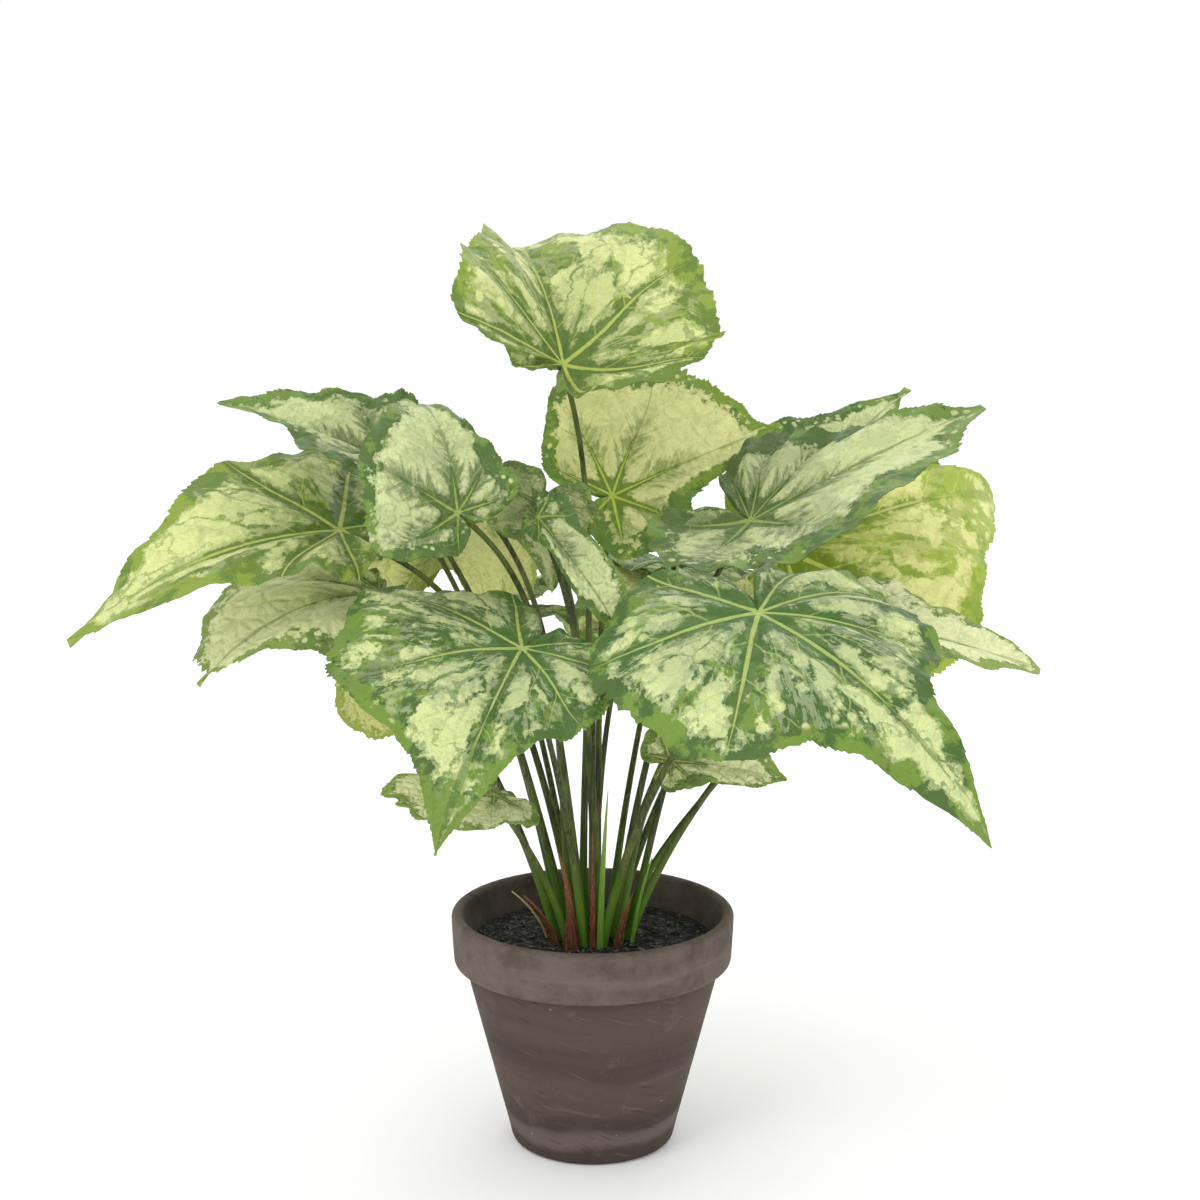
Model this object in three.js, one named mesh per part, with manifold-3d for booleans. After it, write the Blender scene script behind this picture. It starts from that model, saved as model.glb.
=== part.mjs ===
// Potted begonia: a bushy plant with large mottled leaves on long stems, standing in the soil of a clay pot.
// Millimetres, +Z up. The origin is the middle of the pot's underside, and the plant's show side faces -Y.
import * as THREE from "three";
import { mergeVertices } from "three/addons/utils/BufferGeometryUtils.js";
import Module from "manifold-3d";

// ---- Driving dimensions ----
const POT_HEIGHT = 110;
const POT_RIM_RADIUS = 65;
const POT_LIP_ROUNDING = 2.5;
const POT_BAND_HEIGHT = 24; // the thick band under the rim
const POT_BAND_STEP = 5; // how far the band stands proud of the wall
const POT_FOOT_RADIUS = 37;
const POT_FOOT_ROUNDING = 4;
const POT_WALL = 5.5;
const POT_FLOOR = 8;
const POT_SIDES = 44;

const SOIL_TOP = 97;
const SOIL_CLEARANCE = 0.35; // between the soil and the pot's inner wall
const SOIL_MOUND = 1.5; // how much the soil rises towards the stems
const SOIL_SIDES = 28;

const STEM_DEPTH = 10; // how deep a stem stands in the soil
const STEM_AIM = 0.4; // how far it sets off from the soil straight towards its leaf, 0 to 1
const STEM_RISE = 0.4; // the share of its reach over which it keeps that first direction
const STEM_ARRIVAL_REACH = 0.3; // the share over which it turns to the direction it comes in at
const STEM_SIDES = 6;
const STEM_STEPS = 6;
const STEM_FOOT_RADIUS = 2.2;
const STEM_NECK_RADIUS = 1.25; // just under the leaf
const HOLE_CLEARANCE = 0.45;
const SEAT_GAP = 0.3; // between a stem's end and its leaf
const ARRIVAL = 52; // degrees above the horizontal at which a stem reaches its leaf

const SHEATH_DEPTH = 6;
const SHEATH_THICKNESS = 1.3;
const SHEATH_WIDTHS = [1, 1, 0.95, 0.75, 0.45, 0.12]; // from the buried end to the tip

const BLADE_THICKNESS = 0.8;
// The blade's outline: the turn from the midrib to the notch at the stem, 0 to 180 for either half, and the
// reach there as a share of the hub-to-tip length.
const OUTLINE = [
  [0, 1.0],
  [4, 0.87],
  [9, 0.75],
  [16, 0.66],
  [27, 0.605],
  [45, 0.59],
  [70, 0.585],
  [100, 0.575],
  [125, 0.54],
  [148, 0.46],
  [163, 0.34],
  [173, 0.18],
  [180, 0.05],
];
// The two halves of a begonia leaf are unequal: shares of the outline's reach for the left and the right half.
const HALVES = [1.05, 0.8];
const SKEW = 35; // degrees by which the left half wraps past the midrib's line to the notch, right if negative
const REAR = 0.9; // the reach of the lobes beside the notch, as a share of the outline's
const VEIN_TURNS = [0, 50, 98, 142, 180]; // the palmate veins of one half
const LOBE = 0.04; // how far the margin swells out at a vein's end, as a share of its reach
const TOOTH = 0.022;
const PUCKER = 0.028; // how far the blade swells between two veins, as a share of its length
const RUFFLE = 0.022; // how far the margin waves up and down, as a share of the length
const RUFFLES = 7; // waves round one blade
const HALF_WIDTH = 0.56; // of the flat blade, as a share of its length
const CROWDING = 14; // how far, in degrees, the points of a ring crowd towards the tip and the notch
const BLADE_RINGS = [
  { reach: 0.27, points: 12 },
  { reach: 0.54, points: 24 },
  { reach: 0.8, points: 24 },
  { reach: 1, points: 48 },
];

// Where the stems stand in the soil: rings of evenly spaced places round the middle of the pot.
const CROWN_RINGS = {
  outer: { radius: 17.2, lean: 0.08 },
  middle: { radius: 10.6, lean: 0.03 },
  inner: { radius: 4.2, lean: 0 },
};

// Each leaf: its hub, where the veins meet over the stem, and its tip. Roll turns the blade about the line
// between them. Droop is how far the midrib bends over its length, fold how far each half rises from the midrib,
// cup how far it then rolls down by the margin, and nape how far the blade bends down behind the hub, in degrees.
// Halves, skew and rear override the three values above, and shoulders are how far either half swells beside
// the tip. Arrival and rise shape its stem: the angle it comes in at, and how much of it keeps on straight up.
const LEAVES = [
  {
    name: "top", ring: "inner", hub: [-13, -20, 362], tip: [-44, 82, 407],
    roll: 4, droop: 60, fold: 24, cup: 1, nape: -220,
    halves: [0.86, 1.03], skew: -36, rear: 0.5, shoulders: [0.27, 0.2],
  },
  {
    name: "upper_back", ring: "inner", hub: [9, 40, 296], tip: [86, 75, 324],
    roll: 52, droop: 12, fold: 12, cup: 12, nape: 20,
    halves: [1.27, 0.7], skew: -20, rear: 0.62, shoulders: [0.2, 0.0],
  },
  {
    name: "right_upper", ring: "middle", hub: [71, 3, 290], tip: [173, 28, 338],
    roll: 15, droop: 5, fold: 10, cup: 1, nape: -90,
    halves: [0.9, 0.92], skew: -80, rear: 0.85, shoulders: [0.3, 0.25],
  },
  {
    name: "right_back", ring: "middle", hub: [90, 56, 268], tip: [202, 138, 279],
    roll: 55, droop: 80, fold: 5, cup: 20, nape: 0,
    halves: [0.55, 1.05], skew: 0, rear: 0.6, shoulders: [-0.1, 0.1], arrival: 65,
  },
  {
    name: "right_behind", ring: "middle", hub: [110, 113, 292], tip: [158, 158, 332],
    roll: 30, droop: 20, fold: 10, cup: 10, nape: 0,
    halves: [0.85, 1.3],
  },
  {
    name: "front_right", ring: "outer", hub: [68, -100, 268], tip: [154, -153, 190],
    roll: 20, droop: 50, fold: 5, cup: 40, nape: 20,
    halves: [1.0, 1.0], skew: -40, rear: 0.82, shoulders: [-0.05, -0.02],
  },
  {
    name: "right_far", ring: "outer", hub: [114, 4, 243], tip: [197, -12, 226],
    roll: 18, droop: 20, fold: 10, cup: 20,
    halves: [0.85, 0.8], rear: 0.5, shoulders: [0.0, 0.25],
  },
  {
    name: "front_left", ring: "outer", hub: [-29, -85, 250], tip: [-59, -165, 190],
    roll: -15, droop: 40, fold: 8, cup: 15,
    halves: [0.86, 1.25], skew: -20, rear: 0.66, shoulders: [0.1, 0.0],
  },
  {
    name: "left_big", ring: "middle", hub: [-111, -20, 289], tip: [-219, -55, 249],
    roll: -25, droop: 50, fold: 10, cup: 10,
    halves: [0.62, 0.85], skew: -30, rear: 0.65, shoulders: [0.42, 0.15], arrival: 22, rise: 0.66,
  },
  {
    name: "left_upper", ring: "middle", hub: [-92, 0, 317], tip: [-169, 40, 339],
    roll: -20, droop: 10, fold: 30, cup: 10,
    halves: [0.8, 0.72], rear: 0.6, shoulders: [0.0, 0.35],
  },
  {
    name: "left_round", ring: "middle", hub: [-56, -70, 305], tip: [-75, -18, 345],
    roll: 0, droop: 76, fold: 12, cup: 10, nape: -100,
    halves: [1.0, 0.7], skew: 40, rear: 0.45, shoulders: [0.2, 0.2], arrival: 32, rise: 0.55,
  },
  {
    name: "left_lower", ring: "outer", hub: [-95, -8, 259], tip: [-168, -44, 228],
    roll: -18, droop: 60, fold: 5, cup: 20,
    halves: [1.0, 1.05], rear: 0.42, shoulders: [0.1, 0.45],
  },
  {
    name: "left_yellow", ring: "outer", hub: [-74, 54, 269], tip: [-108, 124, 210],
    roll: 0, droop: 20, fold: 10, cup: 20,
    rear: 0.6,
  },
  {
    name: "low_left", ring: "outer", hub: [-43, -45, 176], tip: [-82, -70, 180],
    roll: -16, droop: 10, fold: 5, cup: 10, nape: -40,
    halves: [1.0, 1.1], rear: 0.5, shoulders: [0.6, 0.6],
  },
  {
    name: "left_behind", ring: "outer", hub: [-82, 43, 224], tip: [-90, 67, 173],
    roll: 0, droop: 20, fold: 10, cup: 20,
    halves: [1.2, 1.0], shoulders: [0.45, 0.2],
  },
  {
    name: "centre_droop", ring: "middle", hub: [-23, -52, 300], tip: [13, -72, 253],
    roll: 35, droop: 20, fold: 20, cup: 10,
    halves: [0.4, 0.34], rear: 0.6, shoulders: [0.4, 0.4],
  },
  {
    name: "centre_up", ring: "inner", hub: [-23, -39, 304], tip: [-18, -17, 263],
    roll: 0, droop: 10, fold: 15, cup: 20,
    halves: [1.0, 0.9], rear: 1.1,
  },
  {
    name: "centre_olive", ring: "middle", hub: [-46, -9, 295], tip: [-40, 24, 252],
    roll: 0, droop: 20, fold: 20, cup: 20,
    halves: [0.8, 0.8], rear: 0.7, shoulders: [0.9, 0.7],
  },
  {
    name: "centre_right", ring: "middle", hub: [17, 42, 235], tip: [26, 92, 252],
    roll: 0, droop: 20, fold: 15, cup: 20,
    halves: [0.9, 0.8], rear: 0.75, shoulders: [0.6, 0.6],
  },
  {
    name: "right_centre", ring: "outer", hub: [69, 12, 248], tip: [72, 52, 256],
    roll: 0, droop: 20, fold: 10, cup: 20,
    halves: [0.9, 0.75], rear: 0.75,
  },
  {
    name: "low_right", ring: "outer", hub: [35, -26, 187], tip: [84, -34, 181],
    roll: 50, droop: 20, fold: 10, cup: 10,
    halves: [0.74, 0.58], rear: 0.8, shoulders: [0.3, 0.35],
  },
  {
    name: "back_right", ring: "outer", hub: [40, 106, 252], tip: [68, 182, 200],
    roll: 5, droop: 40, fold: 10, cup: 25,
    halves: [0.95, 0.8],
  },
  {
    name: "back_left", ring: "outer", hub: [-44, 96, 240], tip: [-84, 166, 188],
    roll: -5, droop: 40, fold: 10, cup: 25,
    halves: [0.9, 0.95],
  },
  {
    name: "back_middle", ring: "outer", hub: [0, 88, 230], tip: [-4, 162, 190],
    roll: 0, droop: 45, fold: 12, cup: 25,
    halves: [0.7, 0.6],
  },
  {
    name: "back_low", ring: "outer", hub: [74, 38, 182], tip: [126, 86, 168],
    roll: 0, droop: 35, fold: 10, cup: 20,
    halves: [0.75, 0.8], rear: 0.45,
  },
];

// The dry and green sheaths that stand between the stems: foot, on the soil, tip and width.
const SHEATHS = [
  { name: "left_brown", foot: [-17, -13.8, 97], tip: [-31, -24, 124], width: 6 },
  { name: "left_pale", foot: [-21.1, -4.1, 97], tip: [-37, -8, 121], width: 3.5 },
  { name: "front_brown", foot: [-9.8, -22, 97], tip: [-11, -26, 117], width: 7 },
  { name: "tall_brown", foot: [-7.9, -18, 97], tip: [-15, -31, 146], width: 3.8 },
  { name: "thin_red", foot: [0.2, -20.5, 97], tip: [0, -33, 157], width: 2.6 },
  { name: "green_blade", foot: [3.4, -21.2, 97], tip: [7, -36, 176], width: 2.8 },
  { name: "right_brown", foot: [11.4, -19, 97], tip: [18, -29, 126], width: 4.5 },
  { name: "green_short", foot: [18.2, -10.8, 97], tip: [27, -13, 138], width: 3.2 },
];

const wasm = await Module();
wasm.setup();

const radians = THREE.MathUtils.degToRad;
const UP = new THREE.Vector3(0, 0, 1);

// ---- Solids ----
function solidOf(geometry) {
  const bare = new THREE.BufferGeometry().setAttribute("position", geometry.getAttribute("position"));
  if (geometry.index) bare.setIndex(geometry.index);
  const merged = mergeVertices(bare, 1e-4);
  const mesh = new wasm.Mesh({
    numProp: 3,
    vertProperties: new Float32Array(merged.attributes.position.array),
    triVerts: new Uint32Array(merged.index.array),
  });
  return new wasm.Manifold(mesh);
}

function geometryOf(solid) {
  const mesh = solid.getMesh();
  const geometry = new THREE.BufferGeometry();
  geometry.setAttribute("position", new THREE.BufferAttribute(mesh.vertProperties, 3));
  geometry.setIndex(new THREE.BufferAttribute(mesh.triVerts, 1));
  geometry.computeVertexNormals();
  return geometry;
}

function triangleGeometry(points, faces) {
  const geometry = new THREE.BufferGeometry().setFromPoints(points);
  geometry.setIndex(faces.flat());
  geometry.computeVertexNormals();
  return geometry;
}

// A closed body through rings of the same number of points, each ring given as a list of Vector3.
function loft(rings) {
  const count = rings[0].length;
  const points = rings.flat();
  const faces = [];
  for (let r = 0; r + 1 < rings.length; r += 1) {
    for (let i = 0; i < count; i += 1) {
      const a = r * count + i;
      const b = r * count + ((i + 1) % count);
      faces.push([a, b, b + count], [a, b + count, a + count]);
    }
  }
  const last = (rings.length - 1) * count;
  for (let i = 1; i + 1 < count; i += 1) faces.push([0, i + 1, i], [last, last + i, last + i + 1]);
  return triangleGeometry(points, faces);
}

// ---- Pot and soil ----
const wallSlope = (POT_RIM_RADIUS - POT_BAND_STEP - 1 - POT_FOOT_RADIUS) / (POT_HEIGHT - POT_BAND_HEIGHT);
const wallRadius = (z) => POT_FOOT_RADIUS + wallSlope * z;
const innerRadius = (z) => wallRadius(z) - POT_WALL;

function roundedCorner(x, z, radius, from, to, steps) {
  const corner = [];
  for (let i = 0; i <= steps; i += 1) {
    const angle = radians(from + ((to - from) * i) / steps);
    corner.push(new THREE.Vector2(x + radius * Math.cos(angle), z + radius * Math.sin(angle)));
  }
  return corner;
}

function latheUp(profile, sides) {
  return new THREE.LatheGeometry(profile, sides).rotateX(Math.PI / 2);
}

function potGeometry() {
  const bandFoot = POT_HEIGHT - POT_BAND_HEIGHT;
  const lip = POT_LIP_ROUNDING;
  const foot = POT_FOOT_ROUNDING;
  const profile = [
    new THREE.Vector2(0, 0),
    ...roundedCorner(POT_FOOT_RADIUS - foot + 1, foot, foot, -90, -14, 3),
    new THREE.Vector2(wallRadius(bandFoot), bandFoot),
    ...roundedCorner(POT_RIM_RADIUS - 1 - lip, bandFoot + lip, lip, -90, 0, 2),
    ...roundedCorner(POT_RIM_RADIUS - lip, POT_HEIGHT - lip, lip, 0, 90, 3),
    ...roundedCorner(innerRadius(POT_HEIGHT) + lip, POT_HEIGHT - lip, lip, 90, 180, 2),
    new THREE.Vector2(innerRadius(POT_FLOOR), POT_FLOOR),
    new THREE.Vector2(0, POT_FLOOR),
  ];
  return latheUp(profile, POT_SIDES);
}

function soilGeometry(stems) {
  const low = POT_FLOOR + SOIL_CLEARANCE;
  const reach = (z) => innerRadius(z) * Math.cos(Math.PI / POT_SIDES) - SOIL_CLEARANCE;
  const profile = [
    new THREE.Vector2(0, low),
    new THREE.Vector2(reach(low), low),
    new THREE.Vector2(reach(SOIL_TOP - 2), SOIL_TOP - 2),
    new THREE.Vector2(reach(SOIL_TOP) * 0.6, SOIL_TOP),
    new THREE.Vector2(0, SOIL_TOP + SOIL_MOUND),
  ];
  let soil = solidOf(latheUp(profile, SOIL_SIDES));
  for (const stem of stems) soil = soil.subtract(solidOf(stem.holeGeometry()));
  return geometryOf(soil);
}

// ---- Leaf blades ----
function interpolate(table, angle) {
  const last = table.length - 1;
  const i = Math.min(last - 1, table.findIndex((row, k) => k === last || angle <= table[k + 1][0]));
  const at = (k) => table[Math.abs(k) > last ? last : Math.abs(k)];
  const [before, from, to, after] = [at(i - 1), at(i), at(i + 1), at(Math.min(last, i + 2))];
  const t = (angle - from[0]) / (to[0] - from[0]);
  const slope = (one, other) => (other[1] - one[1]) / (other[0] - one[0]);
  const slopeFrom = i === 0 ? 0.9 * slope(from, to) : slope(before, to);
  const slopeTo = i + 1 === last ? slope(from, to) : slope(from, after);
  const span = to[0] - from[0];
  const t2 = t * t;
  const t3 = t2 * t;
  return (
    (2 * t3 - 3 * t2 + 1) * from[1] +
    (t3 - 2 * t2 + t) * slopeFrom * span +
    (3 * t2 - 2 * t3) * to[1] +
    (t3 - t2) * slopeTo * span
  );
}

// How far a turn from the midrib lies between its two veins: 0 on one of them, 1 on the next.
function betweenVeins(turn) {
  const last = VEIN_TURNS.length - 2;
  const i = Math.min(last, VEIN_TURNS.findIndex((vein, k) => k > last || turn <= VEIN_TURNS[k + 1]));
  return (turn - VEIN_TURNS[i]) / (VEIN_TURNS[i + 1] - VEIN_TURNS[i]);
}

// Where an arc ends that sets off at a slope and turns down by turning radians for each millimetre of length.
function arcEnd(slope, turning, length) {
  const half = (turning * length) / 2;
  const chord = Math.abs(half) < 1e-6 ? length : (length * Math.sin(half)) / half;
  const middle = slope - half;
  return { run: chord * Math.cos(middle), rise: chord * Math.sin(middle), slope: slope - 2 * half };
}

class Blade {
  constructor(leaf) {
    this.leaf = leaf;
    this.hub = new THREE.Vector3(...leaf.hub);
    const chord = new THREE.Vector3(...leaf.tip).sub(this.hub);
    const droop = radians(leaf.droop);
    this.bend = (2 * Math.sin(droop / 2)) / chord.length();
    this.length = droop / this.bend;
    this.forward = chord.clone().normalize();
    this.normal = UP.clone().addScaledVector(this.forward, -this.forward.z).normalize();
    this.normal.applyAxisAngle(this.forward, radians(leaf.roll));
    this.left = this.normal.clone().cross(this.forward);
  }

  // A point of the blade's middle surface: the turn from the midrib to the notch, -180 to 180 and left positive,
  // and the share of the way from the hub to the margin there.
  at(turn, share, tooth = 0) {
    const { leaf, length, bend } = this;
    const [left, right] = leaf.halves ?? HALVES;
    const away = Math.min(180, Math.abs(turn));
    const side = THREE.MathUtils.lerp(1, turn > 0 ? left : right, THREE.MathUtils.smoothstep(away, 0, 35));
    const half = THREE.MathUtils.lerp(side, (left + right) / 2, THREE.MathUtils.smoothstep(away, 160, 180));
    const [leftShoulder, rightShoulder] = leaf.shoulders ?? [0, 0];
    const flank = THREE.MathUtils.smoothstep(away, 0, 16) * (1 - THREE.MathUtils.smoothstep(away, 22, 58));
    const shoulder = 1 + (turn > 0 ? leftShoulder : rightShoulder) * flank;
    const behind = THREE.MathUtils.smoothstep(away, 75, 150);
    const fullness = half * shoulder * THREE.MathUtils.lerp(1, leaf.rear ?? REAR, behind);
    const between = betweenVeins(away);
    const lobe = LOBE * Math.cos(2 * Math.PI * between);
    const reach = length * share * fullness * interpolate(OUTLINE, away) * (1 + (lobe + tooth) * share);
    const angle = radians(turn * (1 + (Math.sign(turn) * (leaf.skew ?? SKEW)) / 180));
    const x = reach * Math.cos(angle);
    const y = Math.abs(reach * Math.sin(angle));
    const turning = x < 0 ? radians(leaf.nape ?? leaf.droop / 2) / length : bend;
    const { run: along, rise, slope } = arcEnd(radians(leaf.droop / 2), turning, x);
    const fold = radians(leaf.fold) * THREE.MathUtils.smoothstep(x, -0.7 * length, -0.1 * length);
    const { run: out, rise: lift } = arcEnd(fold, radians(leaf.cup) / (HALF_WIDTH * length), y);
    const swell = PUCKER * Math.sin(Math.PI * 0.85 * share) * 0.5 * (1 - Math.cos(2 * Math.PI * between));
    const ruffle = RUFFLE * share ** 4 * Math.sin(radians(RUFFLES * turn + (leaf.phase ?? 0)));
    const height = lift + length * (swell + ruffle);
    return this.hub
      .clone()
      .addScaledVector(this.forward, along - Math.sin(slope) * height)
      .addScaledVector(this.normal, rise + Math.cos(slope) * height)
      .addScaledVector(this.left, Math.sign(Math.sin(angle)) * out);
  }

  geometry() {
    const middle = [this.hub.clone()];
    const faces = [];
    let start = 1;
    BLADE_RINGS.forEach(({ reach, points }, ring) => {
      for (let i = 0; i < points; i += 1) {
        const even = -180 + (360 * i) / points;
        const turn = even - CROWDING * Math.sin(radians(2 * even));
        const tooth = reach < 1 || i === 0 ? 0 : TOOTH * (i % 2 ? -1 : 1);
        middle.push(this.at(turn, reach, tooth));
      }
      const inner = ring ? BLADE_RINGS[ring - 1].points : 0;
      const before = start - inner;
      for (let i = 0; i < points; i += 1) {
        const a = start + i;
        const b = start + ((i + 1) % points);
        if (!ring) faces.push([0, a, b]);
        else if (inner === points) {
          const [c, d] = [before + i, before + ((i + 1) % points)];
          faces.push([c, a, b], [c, b, d]);
        } else {
          const k = Math.floor(i / 2);
          const c = before + k;
          const d = before + ((k + 1) % inner);
          if (i % 2) faces.push([c, a, d], [d, a, b]);
          else faces.push([c, a, b]);
        }
      }
      start += points;
    });
    return thicken(middle, faces, BLADE_RINGS.at(-1).points, BLADE_THICKNESS);
  }
}

// A closed skin on both sides of a sheet, whose last points are its margin in order.
function thicken(middle, faces, marginPoints, thickness) {
  const normals = middle.map(() => new THREE.Vector3());
  const [ab, ac] = [new THREE.Vector3(), new THREE.Vector3()];
  for (const [a, b, c] of faces) {
    ab.subVectors(middle[b], middle[a]);
    ac.subVectors(middle[c], middle[a]);
    ab.cross(ac);
    for (const k of [a, b, c]) normals[k].add(ab);
  }
  for (const normal of normals) normal.normalize();
  const lift = (side) => middle.map((p, k) => p.clone().addScaledVector(normals[k], (side * thickness) / 2));
  const points = [...lift(1), ...lift(-1)];
  const under = middle.length;
  const all = faces.concat(faces.map(([a, b, c]) => [a + under, c + under, b + under]));
  const first = middle.length - marginPoints;
  for (let i = 0; i < marginPoints; i += 1) {
    const a = first + i;
    const b = first + ((i + 1) % marginPoints);
    all.push([a, a + under, b + under], [a, b + under, b]);
  }
  return triangleGeometry(points, all);
}

// ---- Stems ----
class Stem {
  constructor(leaf, blade, foot, lean) {
    this.foot = foot;
    const outward = new THREE.Vector3(foot.x, foot.y, 0).normalize();
    const direct = blade.hub.clone().sub(foot);
    direct.divideScalar(direct.z).sub(UP);
    this.rising = outward.multiplyScalar(lean).addScaledVector(direct, STEM_AIM).add(UP).normalize();
    const steepness = radians(leaf.arrival ?? ARRIVAL);
    const away = new THREE.Vector3(blade.hub.x - foot.x, blade.hub.y - foot.y, 0).normalize();
    this.arriving = away.multiplyScalar(Math.cos(steepness)).addScaledVector(UP, Math.sin(steepness));
    const facing = blade.normal.clone().applyAxisAngle(blade.left, -radians(leaf.droop / 2));
    const slant = Math.sqrt(Math.max(0, 1 - this.arriving.dot(facing) ** 2));
    const seat = BLADE_THICKNESS / 2 + SEAT_GAP + STEM_NECK_RADIUS * slant;
    const end = blade.hub.clone().addScaledVector(facing, -seat);
    const reach = end.distanceTo(foot);
    this.curve = new THREE.CubicBezierCurve3(
      foot,
      foot.clone().addScaledVector(this.rising, reach * (leaf.rise ?? STEM_RISE)),
      end.clone().addScaledVector(this.arriving, -reach * STEM_ARRIVAL_REACH),
      end,
    );
  }

  geometry() {
    const rings = [];
    const centres = [this.foot.clone().addScaledVector(this.rising, -STEM_DEPTH)];
    const tangents = [this.rising.clone()];
    for (let i = 0; i <= STEM_STEPS; i += 1) {
      centres.push(this.curve.getPoint(i / STEM_STEPS));
      tangents.push(this.curve.getTangent(i / STEM_STEPS));
    }
    const side = new THREE.Vector3(1, 0, 0).addScaledVector(tangents[0], -tangents[0].x).normalize();
    centres.forEach((centre, k) => {
      const t = Math.max(0, (k - 1) / STEM_STEPS);
      const radius = THREE.MathUtils.lerp(STEM_FOOT_RADIUS, STEM_NECK_RADIUS, Math.sqrt(t));
      if (k) side.applyQuaternion(new THREE.Quaternion().setFromUnitVectors(tangents[k - 1], tangents[k]));
      const other = tangents[k].clone().cross(side);
      rings.push(ringPoints(centre, side, other, radius, STEM_SIDES));
    });
    return loft(rings);
  }

  holeGeometry() {
    const side = new THREE.Vector3(1, 0, 0).addScaledVector(this.rising, -this.rising.x).normalize();
    const other = this.rising.clone().cross(side);
    const radius = STEM_FOOT_RADIUS + HOLE_CLEARANCE;
    const ends = [-STEM_DEPTH - SEAT_GAP, 3].map((d) => this.foot.clone().addScaledVector(this.rising, d));
    return loft(ends.map((end) => ringPoints(end, side, other, radius, STEM_SIDES)));
  }
}

// A thin tapering sheath, flat towards the middle of the pot.
class Sheath {
  constructor({ foot, tip, width }) {
    this.foot = new THREE.Vector3(...foot);
    this.tip = new THREE.Vector3(...tip);
    this.width = width;
    this.rising = this.tip.clone().sub(this.foot).normalize().add(UP).normalize();
    this.side = new THREE.Vector3(-this.foot.y, this.foot.x, 0).normalize();
    this.out = this.side.clone().cross(this.rising).normalize();
  }

  ring(centre, width, thickness) {
    const across = this.side.clone().multiplyScalar(width / 2);
    const outward = this.out.clone().multiplyScalar(thickness / 2);
    const corner = (a, b) => centre.clone().addScaledVector(across, a).addScaledVector(outward, b);
    return [corner(1, 0), corner(0, -1), corner(-1, 0), corner(0, 1)];
  }

  geometry() {
    const { foot, tip, rising, width } = this;
    const knee = foot.clone().addScaledVector(rising, foot.distanceTo(tip) / 2);
    const curve = new THREE.QuadraticBezierCurve3(foot, knee, tip);
    const above = SHEATH_WIDTHS.length - 2;
    const rings = SHEATH_WIDTHS.map((share, k) => {
      const buried = foot.clone().addScaledVector(rising, -SHEATH_DEPTH);
      const centre = k ? curve.getPoint((k - 1) / above) : buried;
      return this.ring(centre, width * share, SHEATH_THICKNESS * Math.max(0.6, share));
    });
    return loft(rings);
  }

  holeGeometry() {
    const grown = 3 * HOLE_CLEARANCE;
    const { foot, rising } = this;
    const ends = [-SHEATH_DEPTH - SEAT_GAP, 2.5].map((d) => foot.clone().addScaledVector(rising, d));
    return loft(ends.map((end) => this.ring(end, this.width + 2 * grown, SHEATH_THICKNESS + grown)));
  }
}

function ringPoints(centre, side, other, radius, count) {
  return Array.from({ length: count }, (_, i) => {
    const angle = (2 * Math.PI * i) / count;
    const out = side.clone().multiplyScalar(Math.cos(angle)).addScaledVector(other, Math.sin(angle));
    return centre.clone().addScaledVector(out, radius);
  });
}

// Gives each stem a place in its ring, in the order of the leaves' directions, so that stems don't cross.
function stemFeet(leaves) {
  const feet = new Map();
  for (const [ringName, ring] of Object.entries(CROWN_RINGS)) {
    const direction = (leaf) => Math.atan2(leaf.hub[1], leaf.hub[0]);
    const members = leaves.filter((leaf) => leaf.ring === ringName);
    members.sort((a, b) => direction(a) - direction(b));
    const step = (2 * Math.PI) / members.length;
    const offsets = members.map((leaf, i) => direction(leaf) - i * step);
    const start = offsets.reduce((sum, offset) => sum + offset, 0) / members.length;
    members.forEach((leaf, i) => {
      const angle = start + i * step;
      const foot = new THREE.Vector3(Math.cos(angle), Math.sin(angle), 0).multiplyScalar(ring.radius);
      feet.set(leaf, foot.setZ(SOIL_TOP));
    });
  }
  return feet;
}

// ---- The assembly ----
const CLAY = new THREE.MeshStandardMaterial({ color: 0x6b5f56, roughness: 0.85, metalness: 0 });
const SOIL = new THREE.MeshStandardMaterial({ color: 0x1c1c1b, roughness: 1, metalness: 0 });
const LEAF = new THREE.MeshStandardMaterial({ color: 0x9db871, roughness: 0.55, metalness: 0 });
const STEM = new THREE.MeshStandardMaterial({ color: 0x4a5a2a, roughness: 0.5, metalness: 0 });
const SHEATH = new THREE.MeshStandardMaterial({ color: 0x6b4a34, roughness: 0.6, metalness: 0 });

const plant = new THREE.Group();

function addPart(name, geometry, material) {
  const mesh = new THREE.Mesh(geometry, material);
  mesh.name = name;
  plant.add(mesh);
}

const feet = stemFeet(LEAVES);
const blades = LEAVES.map((leaf) => new Blade(leaf));
const stems = LEAVES.map((leaf, i) => new Stem(leaf, blades[i], feet.get(leaf), CROWN_RINGS[leaf.ring].lean));
const sheaths = SHEATHS.map((row) => new Sheath(row));

addPart("pot", potGeometry(), CLAY);
addPart("soil", soilGeometry([...stems, ...sheaths]), SOIL);
LEAVES.forEach(({ name }, i) => {
  addPart(`leaf_${name}`, blades[i].geometry(), LEAF);
  addPart(`stem_${name}`, stems[i].geometry(), STEM);
});
SHEATHS.forEach(({ name }, i) => addPart(`sheath_${name}`, sheaths[i].geometry(), SHEATH));

export default plant;
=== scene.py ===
"""Potted begonia: a bushy plant with large mottled leaves on bare stems, in the soil of a clay pot.

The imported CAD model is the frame. Its pot, soil, stems, sheaths and leaf blades are each replaced by a
finer piece of the same form. Lengths in the tables are millimetres, and the meshes are metres, +Z up,
with the show side to -Y.
"""

import logging
import math
import random
from dataclasses import dataclass, field, replace
from enum import Enum

import bpy
import numpy as np
from bpy.types import Material, NodeSocket, Object
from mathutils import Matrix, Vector, noise

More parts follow.
